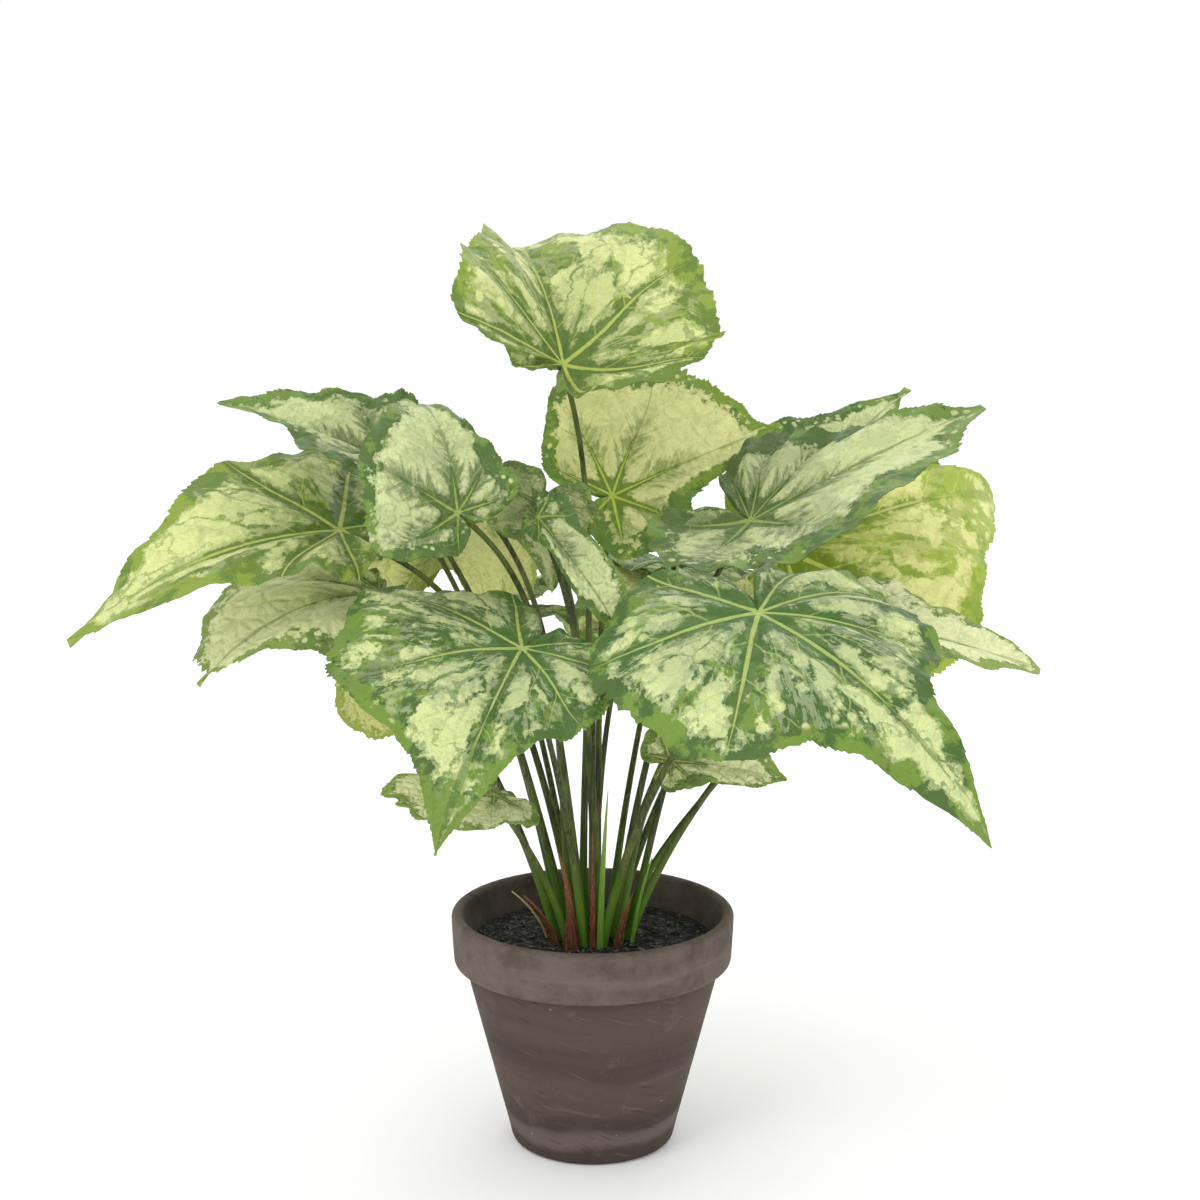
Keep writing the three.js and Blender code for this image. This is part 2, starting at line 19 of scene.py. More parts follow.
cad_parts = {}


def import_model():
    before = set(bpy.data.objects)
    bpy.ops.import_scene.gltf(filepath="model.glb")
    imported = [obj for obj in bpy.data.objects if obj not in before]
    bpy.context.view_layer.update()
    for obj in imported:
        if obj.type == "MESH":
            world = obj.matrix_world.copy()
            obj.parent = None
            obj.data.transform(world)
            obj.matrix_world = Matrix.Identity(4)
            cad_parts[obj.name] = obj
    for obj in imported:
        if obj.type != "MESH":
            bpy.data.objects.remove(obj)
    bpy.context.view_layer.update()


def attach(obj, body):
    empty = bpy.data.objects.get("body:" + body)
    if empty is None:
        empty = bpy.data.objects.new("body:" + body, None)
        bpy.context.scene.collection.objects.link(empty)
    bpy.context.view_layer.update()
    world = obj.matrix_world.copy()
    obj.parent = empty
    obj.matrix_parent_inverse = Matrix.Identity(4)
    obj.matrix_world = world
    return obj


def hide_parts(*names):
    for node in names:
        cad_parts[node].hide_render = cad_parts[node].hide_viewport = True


log = logging.getLogger("potted_begonia")

Colour = tuple[int, int, int]
Numbers = np.ndarray
Point = tuple[float, float, float]
Profile = list[tuple[float, float]]

MM = 0.001
SOIL_TOP = 97.0
POT_RIM = 65.0


# ---- Small modelling helpers ----
def deselect() -> None:
    """Leaves object mode with nothing selected."""
    if bpy.context.object and bpy.context.object.mode != "OBJECT":
        bpy.ops.object.mode_set(mode="OBJECT")
    bpy.ops.object.select_all(action="DESELECT")


def choose(piece: Object) -> None:
    """Selects this piece alone."""
    deselect()
    piece.select_set(True)
    bpy.context.view_layer.objects.active = piece


def take(name: str) -> Object:
    """The new active object, with its mesh, under this name."""
    bpy.context.object.name = bpy.context.object.data.name = name
    return bpy.context.object


def finish_piece(piece: Object, smooth: float, slot: str, *nodes: str) -> None:
    """Smooths a finished piece, sets it under the root body and hides the CAD nodes it stands for.

    Args:
        piece: the object, with its place in its mesh.
        smooth: edges sharper than so many degrees stay sharp.
        slot: not used.
        nodes: the CAD nodes that it replaces.
    """
    choose(piece)
    bpy.ops.object.shade_smooth_by_angle(angle=math.radians(smooth))
    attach(piece, "root")
    if nodes:
        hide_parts(*nodes)
    log.info("%s: %d faces", piece.name, len(piece.data.polygons))


def thicken(piece: Object, millimetres: float, inner: int = 0) -> None:
    """Gives a sheet its thickness.

    Args:
        piece: the sheet.
        millimetres: how thick it becomes, half on each side.
        inner: how many material slots further on the lower side's is.
    """
    skin = piece.modifiers.new("thickness", "SOLIDIFY")
    skin.thickness = millimetres * MM
    skin.offset = 0
    skin.material_offset = inner
    choose(piece)
    bpy.ops.object.modifier_apply(modifier=skin.name)


def turned_body(name: str, profile: Profile, sides: int) -> Object:
    """Raises a closed round body from a disc, ring by ring.

    Args:
        name: the piece's name.
        profile: (radius, height) of each ring in millimetres, from the middle of the underside.
        sides: points round each ring.

    Returns:
        The new object.
    """
    deselect()
    radius, height = profile[0]
    place = (0, 0, height * MM)
    bpy.ops.mesh.primitive_circle_add(vertices=sides, radius=radius * MM, fill_type="NGON", location=place)
    piece = take(name)
    bpy.ops.object.mode_set(mode="EDIT")
    for wider, higher in profile[1:]:
        bpy.ops.mesh.extrude_region_move(TRANSFORM_OT_translate={"value": (0, 0, (higher - height) * MM)})
        growth = wider / radius
        bpy.ops.transform.resize(value=(growth, growth, 1), center_override=(0, 0, higher * MM))
        radius, height = wider, higher
    bpy.ops.mesh.select_all(action="SELECT")
    bpy.ops.mesh.normals_make_consistent(inside=False)
    bpy.ops.object.mode_set(mode="OBJECT")
    bpy.ops.object.transform_apply()
    return piece


def arc(x: float, z: float, radius: float, start: float, end: float, steps: int) -> Profile:
    """The (radius, height) points on a rounded corner round (x, z), between two angles in degrees."""
    angles = [math.radians(start + (end - start) * i / steps) for i in range(steps + 1)]
    return [(x + radius * math.cos(a), z + radius * math.sin(a)) for a in angles]


def smoothstep(low: float, high: float, value: Numbers) -> Numbers:
    """The smooth rise of each value from 0 at low to 1 at high."""
    t = np.clip((value - low) / (high - low), 0, 1)
    return t * t * (3 - 2 * t)


# ---- Materials ----
RIB_STEP = 0.085
RIB_LEAN = 1.15
RIB_START = 0.02
SAGE = (186, 196, 128)
SAGE_SHARE = 0.32
UNDER_VEIN = (196, 202, 140)


def linear(colour: Colour) -> tuple[float, ...]:
    """A screen colour, each part 0 to 255, as linear RGBA."""
    parts = [c / 255 for c in colour]
    return (*(c / 12.92 if c < 0.04045 else ((c + 0.055) / 1.055) ** 2.4 for c in parts), 1.0)


class Field:
    """What one node gives: a number, a vector or a colour that varies over the surface."""

    def __init__(self, painter: "Painter", socket: NodeSocket) -> None:
        """Keeps the painter and the node's output."""
        self.painter = painter
        self.socket = socket

    def math(self, operation: str, other: object = 0.0) -> "Field":
        """One step of arithmetic with another number."""
        return self.painter.node("Math", {0: self, 1: other}, operation=operation)

    def __add__(self, other: object) -> "Field":
        """The sum of two numbers."""
        return self.math("ADD", other)

    def __sub__(self, other: object) -> "Field":
        """One number less another."""
        return self.math("SUBTRACT", other)

    def __mul__(self, other: object) -> "Field":
        """The product of two numbers."""
        return self.math("MULTIPLY", other)

    def parts(self) -> list["Field"]:
        """The three parts of a vector."""
        node = self.painter.node("SeparateXYZ", {0: self}).socket.node
        return [Field(self.painter, socket) for socket in node.outputs]

    def stretch(self, x: float, y: float, z: float) -> "Field":
        """A vector multiplied part by part."""
        return self.painter.node("VectorMath", {0: self, 1: (x, y, z)}, operation="MULTIPLY")

    def shift(self, other: "Field") -> "Field":
        """The sum of two vectors."""
        return self.painter.node("VectorMath", {0: self, 1: other}, operation="ADD")

    def rise(self, low: float, high: float, top: float = 1.0) -> "Field":
        """A smooth rise from 0 at low to top at high, or a fall where low is the greater.

        Args:
            low: where it is 0.
            high: where it reaches top.
            top: the value there.

        Returns:
            The weight.
        """
        first, last = (top, 0.0) if low > high else (0.0, top)
        inputs = {"Value": self, "From Min": min(low, high), "From Max": max(low, high)}
        inputs |= {"To Min": first, "To Max": last}
        return self.painter.node("MapRange", inputs, "Result", interpolation_type="SMOOTHSTEP")

    def cloud(self, scale: float, detail: float = 3.0, rough: float = 0.55, kind: str = "Fac") -> "Field":
        """Soft noise between 0 and 1, read at this place: one number, or three as a Color."""
        inputs = {"Vector": self, "Scale": scale, "Detail": detail, "Roughness": rough}
        return self.painter.node("TexNoise", inputs, kind)

    def dots(self, scale: float, kind: str = "Distance") -> "Field":
        """The distance to the nearest of many scattered points, or that point's own Color."""
        return self.painter.node("TexVoronoi", {"Vector": self, "Scale": scale}, kind)

    def net(self, scale: float) -> "Field":
        """The distance to the nearest border in a net of uneven cells."""
        inputs = {"Vector": self, "Scale": scale}
        return self.painter.node("TexVoronoi", inputs, "Distance", feature="DISTANCE_TO_EDGE")

    def relief(self, strength: float, unit: float, under: "Field | None" = None) -> "Field":
        """The normal bent by this height, in units of so many metres, over another bump."""
        inputs = {"Height": self, "Strength": strength, "Distance": unit}
        if under:
            inputs["Normal"] = under
        return self.painter.node("Bump", inputs, "Normal")


class Painter:
    """Writes the nodes of one material."""

    def __init__(self, name: str) -> None:
        """Starts an empty material with one shader.

        Args:
            name: the material's name.
        """
        self.material = bpy.data.materials.new(name)
        self.material.use_nodes = True
        self.tree = self.material.node_tree
        self.tree.nodes.clear()
        self.shader = self.tree.nodes.new("ShaderNodeBsdfPrincipled")
        output = self.tree.nodes.new("ShaderNodeOutputMaterial")
        self.tree.links.new(self.shader.outputs["BSDF"], output.inputs["Surface"])
        self.place = self.node("TexCoord", {}, "Object")

    def put(self, socket: NodeSocket, value: object) -> None:
        """Links a field into a socket, or sets a plain value on it.

        Args:
            socket: the input.
            value: a field, a number, a vector or a screen colour.
        """
        if isinstance(value, Field):
            self.tree.links.new(value.socket, socket)
        else:
            socket.default_value = linear(value) if socket.type == "RGBA" else value

    def node(
        self, kind: str, inputs: dict[int | str, object], output: int | str = 0, **settings: str
    ) -> Field:
        """Adds one node.

        Args:
            kind: Blender's name for it, less the first word.
            inputs: what goes into each of its sockets, by name or number.
            output: the socket that is read.
            settings: its choices.

        Returns:
            What it gives.
        """
        node = self.tree.nodes.new(f"ShaderNode{kind}")
        for name, choice in settings.items():
            setattr(node, name, choice)
        for key, value in inputs.items():
            self.put(node.inputs[key], value)
        return Field(self, node.outputs[output])

    def attribute(self, name: str) -> Field:
        """A vector that the mesh carries."""
        return self.node("Attribute", {}, "Vector", attribute_name=name)

    def join(self, x: object, y: object, z: object) -> Field:
        """A vector from its three parts."""
        return self.node("CombineXYZ", {0: x, 1: y, 2: z})

    def blend(self, weight: object, below: object, above: object) -> Field:
        """One colour over another: weight 0 shows the one below, 1 the one above."""
        return self.node("Mix", {0: weight, 6: below, 7: above}, 2, data_type="RGBA")

    def layers(self, base: object, *layers: tuple[object, object]) -> Field:
        """Colours laid over a base one by one, each with its weight before it."""
        for weight, above in layers:
            base = self.blend(weight, base, above)
        return base

    def surface(
        self, colour: Field, rough: object, normal: Field | None = None, **others: float
    ) -> Material:
        """Sets the shader and returns the material.

        Args:
            colour: the base colour.
            rough: its roughness.
            normal: the bent normal, where the surface has a relief.
            others: constants for other sockets by name, with underscores for spaces.

        Returns:
            The finished material.
        """
        self.put(self.shader.inputs["Base Color"], colour)
        self.put(self.shader.inputs["Roughness"], rough)
        if normal:
            self.put(self.shader.inputs["Normal"], normal)
        for name, value in others.items():
            self.shader.inputs[name.replace("_", " ")].default_value = value
        return self.material


@dataclass(frozen=True)
class LeafFinish:
    """The colours of one kind of blade, the spread of its pattern and how far its pale veins reach."""

    name: str
    hearted: bool
    margin: Colour
    deep: Colour
    pale: Colour
    silver: Colour
    ray: Colour
    vein: Colour
    share: float = 0.5
    vein_reach: float = 0.75
    rim: float = 0.1
    roughness: float = 0.48

    def under_side(self) -> "LeafFinish":
        """The finish of the same blade's lower side, which is duller, paler and greyer.

        Returns:
            The lower side's finish.
        """
        faded = {}
        for part in ("margin", "deep", "pale", "silver", "ray"):
            mixed = zip(getattr(self, part), SAGE)
            faded[part] = tuple(round(c * (1 - SAGE_SHARE) + s * SAGE_SHARE) for c, s in mixed)
        return replace(self, name=f"{self.name}_under", vein=UNDER_VEIN, roughness=0.62, **faded)

    def material(self) -> Material:
        """The blade's material."""
        return LeafPainter(self).dress()


class LeafPainter(Painter):
    """Paints one kind of blade; each length that it reads is a share of the blade's own."""

    def __init__(self, finish: LeafFinish) -> None:
        """Reads where each point lies on its flat blade and among its veins.

        Args:
            finish: the blade's colours.
        """
        super().__init__(f"leaf_{finish.name}")
        self.finish = finish
        x, y, seed = self.attribute("leaf_place").parts()
        self.across, self.along, self.edge = self.attribute("vein_place").parts()
        self.radius = (x * x + y * y).math("SQRT")
        self.flat = self.join(x, y, seed)
        self.polar = self.join(self.radius, y.math("ARCTAN2", x), seed)

    def spots(self, fineness: float) -> Field:
        """Round pale spots that keep off the very edge."""
        held = self.flat.cloud(4, 1).rise(0.5, 0.56)
        return self.flat.dots(fineness).rise(0.34, 0.22) * held * self.edge.rise(0.02, 0.04)

    def green(self) -> Field:
        """The blade's green in two printed tones."""
        tone = self.flat.cloud(7, 6, 0.62) + self.radius * 0.22 - 0.12
        return self.blend(tone.rise(0.53, 0.47, 0.85), self.finish.margin, self.finish.deep)

    def mottled(self) -> Field:
        """Cream patches in a net of green, with silver between the veins towards the hub.

        Returns:
            The colour.
        """
        finish, flat, radius = self.finish, self.flat, self.radius
        fray = flat.cloud(17, 6, 0.7) - 0.5
        bend = flat.cloud(11, 5, 0.62, "Color").stretch(1.5, 1.5, 0)
        cells = self.polar.stretch(4.4, 4.6, 9).shift(bend)
        chance = cells.dots(1, "Color").parts()[0]
        gap = cells.net(1) + chance.rise(finish.share + 0.3, finish.share - 0.4, -0.3) + fray * 0.12
        beside = self.across + radius.rise(0.95, 0.0, -0.05) + fray * 0.1
        reach = radius + fray * 0.5 - self.across * 0.6
        inland = self.edge + fray * 0.28 + flat.cloud(4, 1) * 0.16 - 0.08
        streak = self.polar.stretch(5, 9, 1).cloud(1.6, 6, 0.72) + fray * 0.5
        silver = streak.rise(0.5, 0.53) * inland.rise(0.05, 0.07) * beside.rise(-0.02, 0.0)
        base = self.blend(silver * radius.rise(1.0, 0.3, 0.9), self.green(), finish.silver)
        patch = gap.rise(0.035, 0.05) * reach.rise(0.15, 0.18) * beside.rise(0.0, 0.01)
        patch = patch * inland.rise(finish.rim - 0.015, finish.rim - 0.005)
        halo = gap.rise(-0.02, 0.0) * reach.rise(0.08, 0.12) * inland.rise(0.06, 0.07) * 0.45
        shade = flat.cloud(13, 6, 0.72).rise(0.54, 0.57, 0.3) + reach.rise(0.42, 0.3, 0.4)
        pale = self.blend(shade, finish.pale, finish.silver)
        return self.layers(
            self.blend(halo, base, pale),
            (patch, pale),
            (self.spots(17) * self.edge.rise(0.34, 0.14) * 0.8, finish.pale),
            (beside.rise(-0.008, -0.016) * radius.rise(0.75, 0.45, 0.8), finish.ray),
        )

    def hearted(self) -> Field:
        """A broad pale middle in a jagged green margin, feathered dark along the veins by the hub.

        Returns:
            The colour.
        """
        finish, flat, across, radius = self.finish, self.flat, self.across, self.radius
        share, rim = finish.share, finish.rim
        fray = flat.cloud(15, 5, 0.66) - 0.5
        slow = flat.cloud(3.5, 1) - 0.5
        barbs = self.join(self.along - across * 0.9, across * 0.3, 0.3).cloud(30, 4, 0.7) - 0.5
        star = across + barbs * 0.42 + fray * 0.2 + slow * 0.2 + radius * 0.1
        middle = radius + fray * 0.5 + across * 0.4
        taper = across + fray * 0.07 + slow * 0.05 + radius.rise(0.4, 0.0, -0.042)
        depth = self.edge + fray * 0.38 + slow * 0.3
        tone = flat.cloud(7, 6, 0.68) + slow * 0.5
        shade = self.blend(0.55, finish.silver, finish.ray)
        green = self.blend(self.spots(19) * 0.7, self.green(), finish.pale)
        return self.layers(
            finish.pale,
            (tone.rise(0.54, 0.56, 0.25), finish.silver),
            (middle.rise(share, share - 0.04, 0.3), finish.silver),
            (star.rise(0.095, 0.085) * middle.rise(share + 0.2, share - 0.1, 0.7), finish.silver),
            (star.rise(0.06, 0.052) * middle.rise(share + 0.05, share - 0.15, 0.9), shade),
            (taper.rise(0.0, -0.006) * radius.rise(0.42, 0.36, 0.9), finish.ray),
            (depth.rise(rim + 0.035, rim + 0.025, 0.5), finish.silver),
            (depth.rise(rim + 0.005, rim - 0.003), green),
        )

    def dress(self) -> Material:
        """Lays the veins over the pattern, then the weave and the relief.

        Returns:
            The finished material.
        """
        finish, flat, across, radius, edge = self.finish, self.flat, self.across, self.radius, self.edge
        far, near = finish.vein_reach, 0.6 * finish.vein_reach
        wobble = flat.cloud(9, 2) - 0.5
        mesh = flat.shift(flat.cloud(20, 3, 0.6, "Color").stretch(0.05, 0.05, 0)).net(24)
        thick = radius.rise(far, 0.0, 0.0068) * (wobble + 1.0)
        main = (thick - across).rise(-0.0015, 0.0015) * radius.rise(far, near)
        rib = (self.along - across * RIB_LEAN + wobble * 0.06 + RIB_START).math("PINGPONG", RIB_STEP)
        twig = (across.rise(0.3, 0.0, 0.0035) - rib).rise(-0.002, 0.001)
        twig = twig * edge.rise(0.03, 0.09) * self.along.rise(0.1, 0.2)
        faint = (across + wobble * 0.004).rise(0.004, 0.001, 0.5) * edge.rise(0.03, 0.1)
        grain = self.place.cloud(900, 2, 0.6)
        colour = self.layers(
            self.hearted() if finish.hearted else self.mottled(),
            (mesh.rise(0.07, 0.02, 0.07), finish.deep),
            (twig * radius.rise(1.3 * far, 0.7 * far, 0.55), finish.vein),
            (faint * radius.rise(near, far), finish.ray),
            ((thick + 0.004 - across).rise(-0.002, 0.002) * radius.rise(far, near, 0.45), finish.ray),
            (main * 0.8, finish.vein),
            (grain.rise(0.35, 0.65, 0.1), finish.deep),
        )
        pucker = flat.net(13).rise(0.0, 0.3) * edge.rise(0.0, 0.1)
        veins = (main * 0.6 + twig * 0.3).relief(0.5, 0.0006)
        normal = (self.place.cloud(200, 2, 0.5) + grain * 0.3 + pucker * 1.5).relief(0.6, 0.001, veins)
        rough = grain.rise(0.2, 0.8, 0.12) + finish.roughness
        sheen = {"Sheen_Weight": 0.05, "Sheen_Roughness": 0.5}
        return self.surface(colour, rough, normal, Specular_IOR_Level=0.36, **sheen)


class Look(Enum):
    """How a leaf is coloured."""

    MOTTLED = LeafFinish(
        "mottled", False, (108, 138, 46), (58, 90, 34), (206, 216, 148), (146, 160, 118),
        (66, 102, 34), (176, 194, 104), share=0.46,
    )
    MOTTLED_SUNLIT = LeafFinish(
        "mottled_sunlit", False, (132, 154, 52), (92, 120, 42), (212, 220, 146), (158, 168, 108),
        (78, 104, 30), (180, 196, 92),
    )
    MOTTLED_GLOWING = LeafFinish(
        "mottled_glowing", False, (160, 180, 62), (134, 158, 50), (226, 228, 146), (194, 198, 116),
        (122, 144, 34), (216, 224, 112),
    )
    HEARTED = LeafFinish(
        "hearted", True, (108, 136, 52), (70, 98, 42), (204, 214, 152), (142, 152, 106),
        (78, 104, 42), (150, 172, 82), vein_reach=0.32,
    )
    HEARTED_SUNLIT = LeafFinish(
        "hearted_sunlit", True, (122, 150, 46), (86, 120, 40), (226, 228, 156), (186, 190, 122),
        (98, 126, 34), (186, 202, 82), share=0.46, vein_reach=0.4,
    )
    HEARTED_GLOWING = LeafFinish(
        "hearted_glowing", True, (158, 174, 62), (126, 146, 46), (238, 238, 150), (210, 212, 120),
        (124, 144, 40), (204, 214, 96), share=0.4, vein_reach=0.4, rim=0.06,
    )
    HEARTED_PALE = LeafFinish(
        "hearted_pale", True, (136, 158, 76), (100, 128, 58), (232, 236, 180), (196, 202, 148),
        (108, 128, 62), (190, 204, 116), share=0.36, vein_reach=0.34, rim=0.075,
    )


@dataclass(frozen=True)
class ClayFinish:
    """Grey-brown washed clay: a greyer band, thin slanting strokes, wiped rings and a few pale specks."""

    clay: Colour = (90, 75, 65)
    dark: Colour = (60, 50, 44)
    pale: Colour = (114, 104, 97)
    speck: Colour = (176, 168, 158)

    def material(self) -> Material:
        """The clay.

        Returns:
            The finished material.
        """
        p = Painter("washed_clay")
        place = p.place
        x, y, z = place.parts()
        turn = y.math("ARCTAN2", x)
        around = turn * 0.012
        swaying = z + place.cloud(14, 2) * 0.02
        ring = p.join(around, around, swaying)
        slant = p.join(around, around, swaying + turn * 0.016)
        level = z + ring.cloud(60, 3) * 0.014
        bands = ring.stretch(26, 26, 150).cloud(1, 5, 0.62)
        wide = ring.stretch(14, 14, 46).cloud(1, 3, 0.5)
        strokes = slant.stretch(110, 110, 620).cloud(1, 5, 0.68)
        dust = place.cloud(60, 6, 0.7)
        low_ring = level.rise(0.0235, 0.0275) * level.rise(0.0345, 0.0285)
        colour = p.layers(
            self.dark,
            (wide.rise(0.3, 0.66, 0.75), self.clay),
            (bands.rise(0.58, 0.72, 0.4), self.pale),
            (low_ring * wide.rise(0.3, 0.55, 0.7), self.dark),
            (level.rise(0.0165, 0.0115, 0.6), self.dark),
            (level.rise(0.0135, 0.0185) * level.rise(0.0275, 0.0225, 0.5), self.pale),
            (strokes.rise(0.57, 0.64, 0.75) * dust.rise(0.4, 0.56), self.dark),
            (strokes.rise(0.4, 0.32, 0.35), self.pale),
            (z.rise(0.0845, 0.0865, 0.55) * dust.rise(0.3, 0.6), self.pale),
            (dust.rise(0.54, 0.7, 0.3), self.pale),
            (place.dots(160).rise(0.13, 0.07) * dust.rise(0.54, 0.64) * 0.6, self.speck),
        )
        grit = place.cloud(1400, 3, 0.7)
        normal = (bands * 0.5 + strokes * 0.5 + grit * 0.4).relief(0.4, 0.0006)
        return p.surface(colour, dust.rise(0.3, 0.7, 0.15) + 0.72, normal, Specular_IOR_Level=0.3)


@dataclass(frozen=True)
class SoilFinish:
    """Dark fibrous soil with grey flecks."""

    name: str = "soil_fibre"
    dark: Colour = (32, 32, 32)
    fleck: Colour = (122, 122, 120)
    share: float = 0.53
    lit: Colour = (48, 47, 46)

    def material(self) -> Material:
        """The soil.

        Returns:
            The finished material.
        """
        p = Painter(self.name)
        place = p.place
        streak = place.stretch(260, 700, 500).cloud(1, 4, 0.7)
        lump = place.cloud(130, 3, 0.6)
        flecks = streak.rise(self.share, self.share + 0.1, 0.8)
        colour = p.layers(self.dark, (lump.rise(0.35, 0.65), self.lit), (flecks, self.fleck))
        return p.surface(colour, 0.9, (streak + lump).relief(0.9, 0.0012), Specular_IOR_Level=0.2)


@dataclass(frozen=True)
class StemFinish:
    """Olive stems, bright green where they leave the soil."""

    foot: Colour = (88, 132, 36)
    shank: Colour = (84, 94, 42)
    dark: Colour = (50, 60, 28)
    fibre: Colour = (116, 126, 66)

    def material(self) -> Material:
        """The stems' skin.

        Returns:
            The finished material.
        """
        p = Painter("stem_skin")
        place = p.place
        long = place.stretch(900, 900, 30).cloud(1, 3, 0.6)
        patch = place.cloud(45, 2)
        height = place.parts()[2] + patch * 0.03
        colour = p.layers(
            self.dark,
            (patch.rise(0.4, 0.62), self.shank),
            (height.rise(0.165, 0.122), self.foot),
            (long.rise(0.42, 0.66, 0.4), self.fibre),
        )
        return p.surface(colour, 0.55, long.relief(0.5, 0.0005), Specular_IOR_Level=0.25)


@dataclass(frozen=True)
class SheathFinish:
    """A thin sheath, dry or green, that changes colour between two heights in metres."""

    name: str
    low: Colour
    high: Colour
    start: float = 0.1
    end: float = 0.125
    fibre: Colour = (176, 140, 96)

    def material(self) -> Material:
        """The sheath's skin.

        Returns:
            The finished material.
        """
        p = Painter(f"sheath_{self.name}")
        place = p.place
        long = place.stretch(1300, 1300, 60).cloud(1, 3, 0.6)
        height = place.parts()[2].rise(self.start, self.end)
        colour = p.layers(self.low, (height, self.high), (long.rise(0.45, 0.7, 0.45), self.fibre))
        return p.surface(colour, 0.6, long.relief(0.6, 0.0005), Specular_IOR_Level=0.35)


# ---- Pot and soil ----
@dataclass
class ClayPot:
    """The round tapering pot with its thick rim band."""

    height: float = 110.0
    rim: float = POT_RIM
    lip: float = 2.5
    band: float = 24.0
    step: float = 5.0
    foot: float = 37.0
    rounding: float = 4.0
    wall: float = 5.5
    floor: float = 8.0
    sides: int = 160
    wall_rings: int = 12

    def outside(self, z: float) -> float:
        """The wall's outer radius at a height."""
        slope = (self.rim - self.step - 1 - self.foot) / (self.height - self.band)
        return self.foot + slope * z

    def inside(self, z: float) -> float:
        """The wall's inner radius at a height."""
        return self.outside(z) - self.wall

    def build(self) -> None:
        """Raises the pot and dresses it."""
        band_foot = self.height - self.band
        corner, lip, top = self.rounding, self.lip, self.height - self.lip
        heights = [
            corner + (band_foot - corner) * (i + 1) / self.wall_rings for i in range(self.wall_rings)
        ]
        profile = [
            *((r, 0.0) for r in (8.0, 20.0, 30.0)),
            *arc(self.foot - corner + 1, corner, corner, -90, -14, 6),
            *((self.outside(z), z) for z in heights),
            *arc(self.rim - 1 - lip, band_foot + lip, lip, -90, 0, 5),
            (self.rim - 0.6, band_foot + 9),
            (self.rim - 0.2, band_foot + 16),
            *arc(self.rim - lip, top, lip, 0, 90, 6),
            *arc(self.inside(self.height) + lip, top, lip, 96, 180, 6),
            *((self.inside(z), z) for z in (80.0, 45.0, self.floor)),
            (12.0, self.floor),
        ]
        pot = turned_body("clay_pot", profile, self.sides)
        pot.data.materials.append(ClayFinish().material())
        finish_piece(pot, 50, "clay", "pot")


@dataclass
class SoilBed:
    """The soil and the crumbs and fibres on it."""

    pot: ClayPot
    mound: float = 1.5
    brow: float = 0.6
    sag: float = 2.0
    skirt: float = 50.0
    clearance: float = 0.45
    margin: float = 2.5
    rings: int = 40
    sides: int = 144
    unevenness: float = 1.1
    crumbs: int = 620
    long_share: float = 0.6
    seed: int = 11

    def height(self, radius: float) -> float:
        """The top's height over the pot's underside at a radius."""
        share = min(1.0, radius / self.pot.inside(SOIL_TOP))
        if share < self.brow:
            return SOIL_TOP + self.mound * (1 - share / self.brow)
        return SOIL_TOP - self.sag * (share - self.brow) / (1 - self.brow)

    def build(self) -> None:
        """Makes the bed, then scatters the crumbs on it."""
        low = self.pot.floor + self.clearance - 0.1
        edge = self.pot.inside(SOIL_TOP) - self.clearance
        profile = [(self.pot.inside(z) - self.clearance, z) for z in (low, self.skirt)]
        for i in range(self.rings):
            radius = edge * (1 - i / self.rings)
            profile.append((radius, self.height(radius)))
        bed = turned_body("soil_bed", profile, self.sides)
        for vertex in bed.data.vertices:
            if vertex.co.z > (self.skirt + 1) * MM:
                out = math.hypot(vertex.co.x, vertex.co.y) / MM
                keep = min(1.0, max(0.0, (edge - out) / 2))
                bump = noise.noise(vertex.co * 260) + 0.5 * noise.noise(vertex.co * 700)
                vertex.co.z += self.unevenness * MM * bump * keep
        bed.data.materials.append(SoilFinish().material())
        finish_piece(bed, 80, "soil", "soil")
        self.scatter(edge - self.margin)

    def scatter(self, spread: float) -> None:
        """Copies one rough crumb over the bed.

        Args:
            spread: the outermost crumb's radius in millimetres.
        """
        draw = random.Random(self.seed)
        deselect()
        bpy.ops.mesh.primitive_ico_sphere_add(subdivisions=1, radius=1)
        first = take("soil_crumbs")
        for vertex in first.data.vertices:
            vertex.co *= 1 + 0.3 * noise.noise(vertex.co * 2.1)
        copies = [first]
        for _ in range(self.crumbs):
            copy = first.copy()
            copy.data = first.data.copy()
            bpy.context.collection.objects.link(copy)
            copies.append(copy)
        for crumb in copies:
            turn = draw.uniform(0, 2 * math.pi)
            out = spread * math.sqrt(draw.random())
            long = draw.random() < self.long_share
            size = draw.uniform(0.5, 1.1)
            length = draw.uniform(1.8, 3.6) if long else 1.2
            crumb.scale = Vector((size * length, size * 0.7, size * 0.55)) * MM
            tilt = draw.uniform(-0.4, 0.4), draw.uniform(-0.4, 0.4)
            crumb.rotation_euler = (*tilt, draw.uniform(0, math.pi))
            place = Vector((out * math.cos(turn), out * math.sin(turn), self.height(out) + 0.35 * size))
            crumb.location = place * MM
            crumb.select_set(True)
        bpy.context.view_layer.objects.active = first
        bpy.ops.object.join()
        bpy.ops.object.transform_apply()
        first.data.materials.append(SoilFinish("soil_crumb", (34, 33, 32), (128, 127, 124), 0.5).material())
        finish_piece(first, 60, "soil")


# ---- Leaves ----
@dataclass(frozen=True)
class LeafPlan:
    """One leaf: its hub over the stem, its tip, and how its blade bends, in millimetres and degrees."""

    name: str
    ring: str
    hub: Point
    tip: Point
    roll: float = 0.0
    droop: float = 20.0
    fold: float = 10.0
    cup: float = 20.0
    nape: float | None = None
    halves: tuple[float, float] = (1.05, 0.8)
    skew: float = 35.0
    rear: float = 0.9
    shoulders: tuple[float, float] = (0.0, 0.0)
    arrival: float = 52.0
    rise: float = 0.4
    look: Look = Look.HEARTED


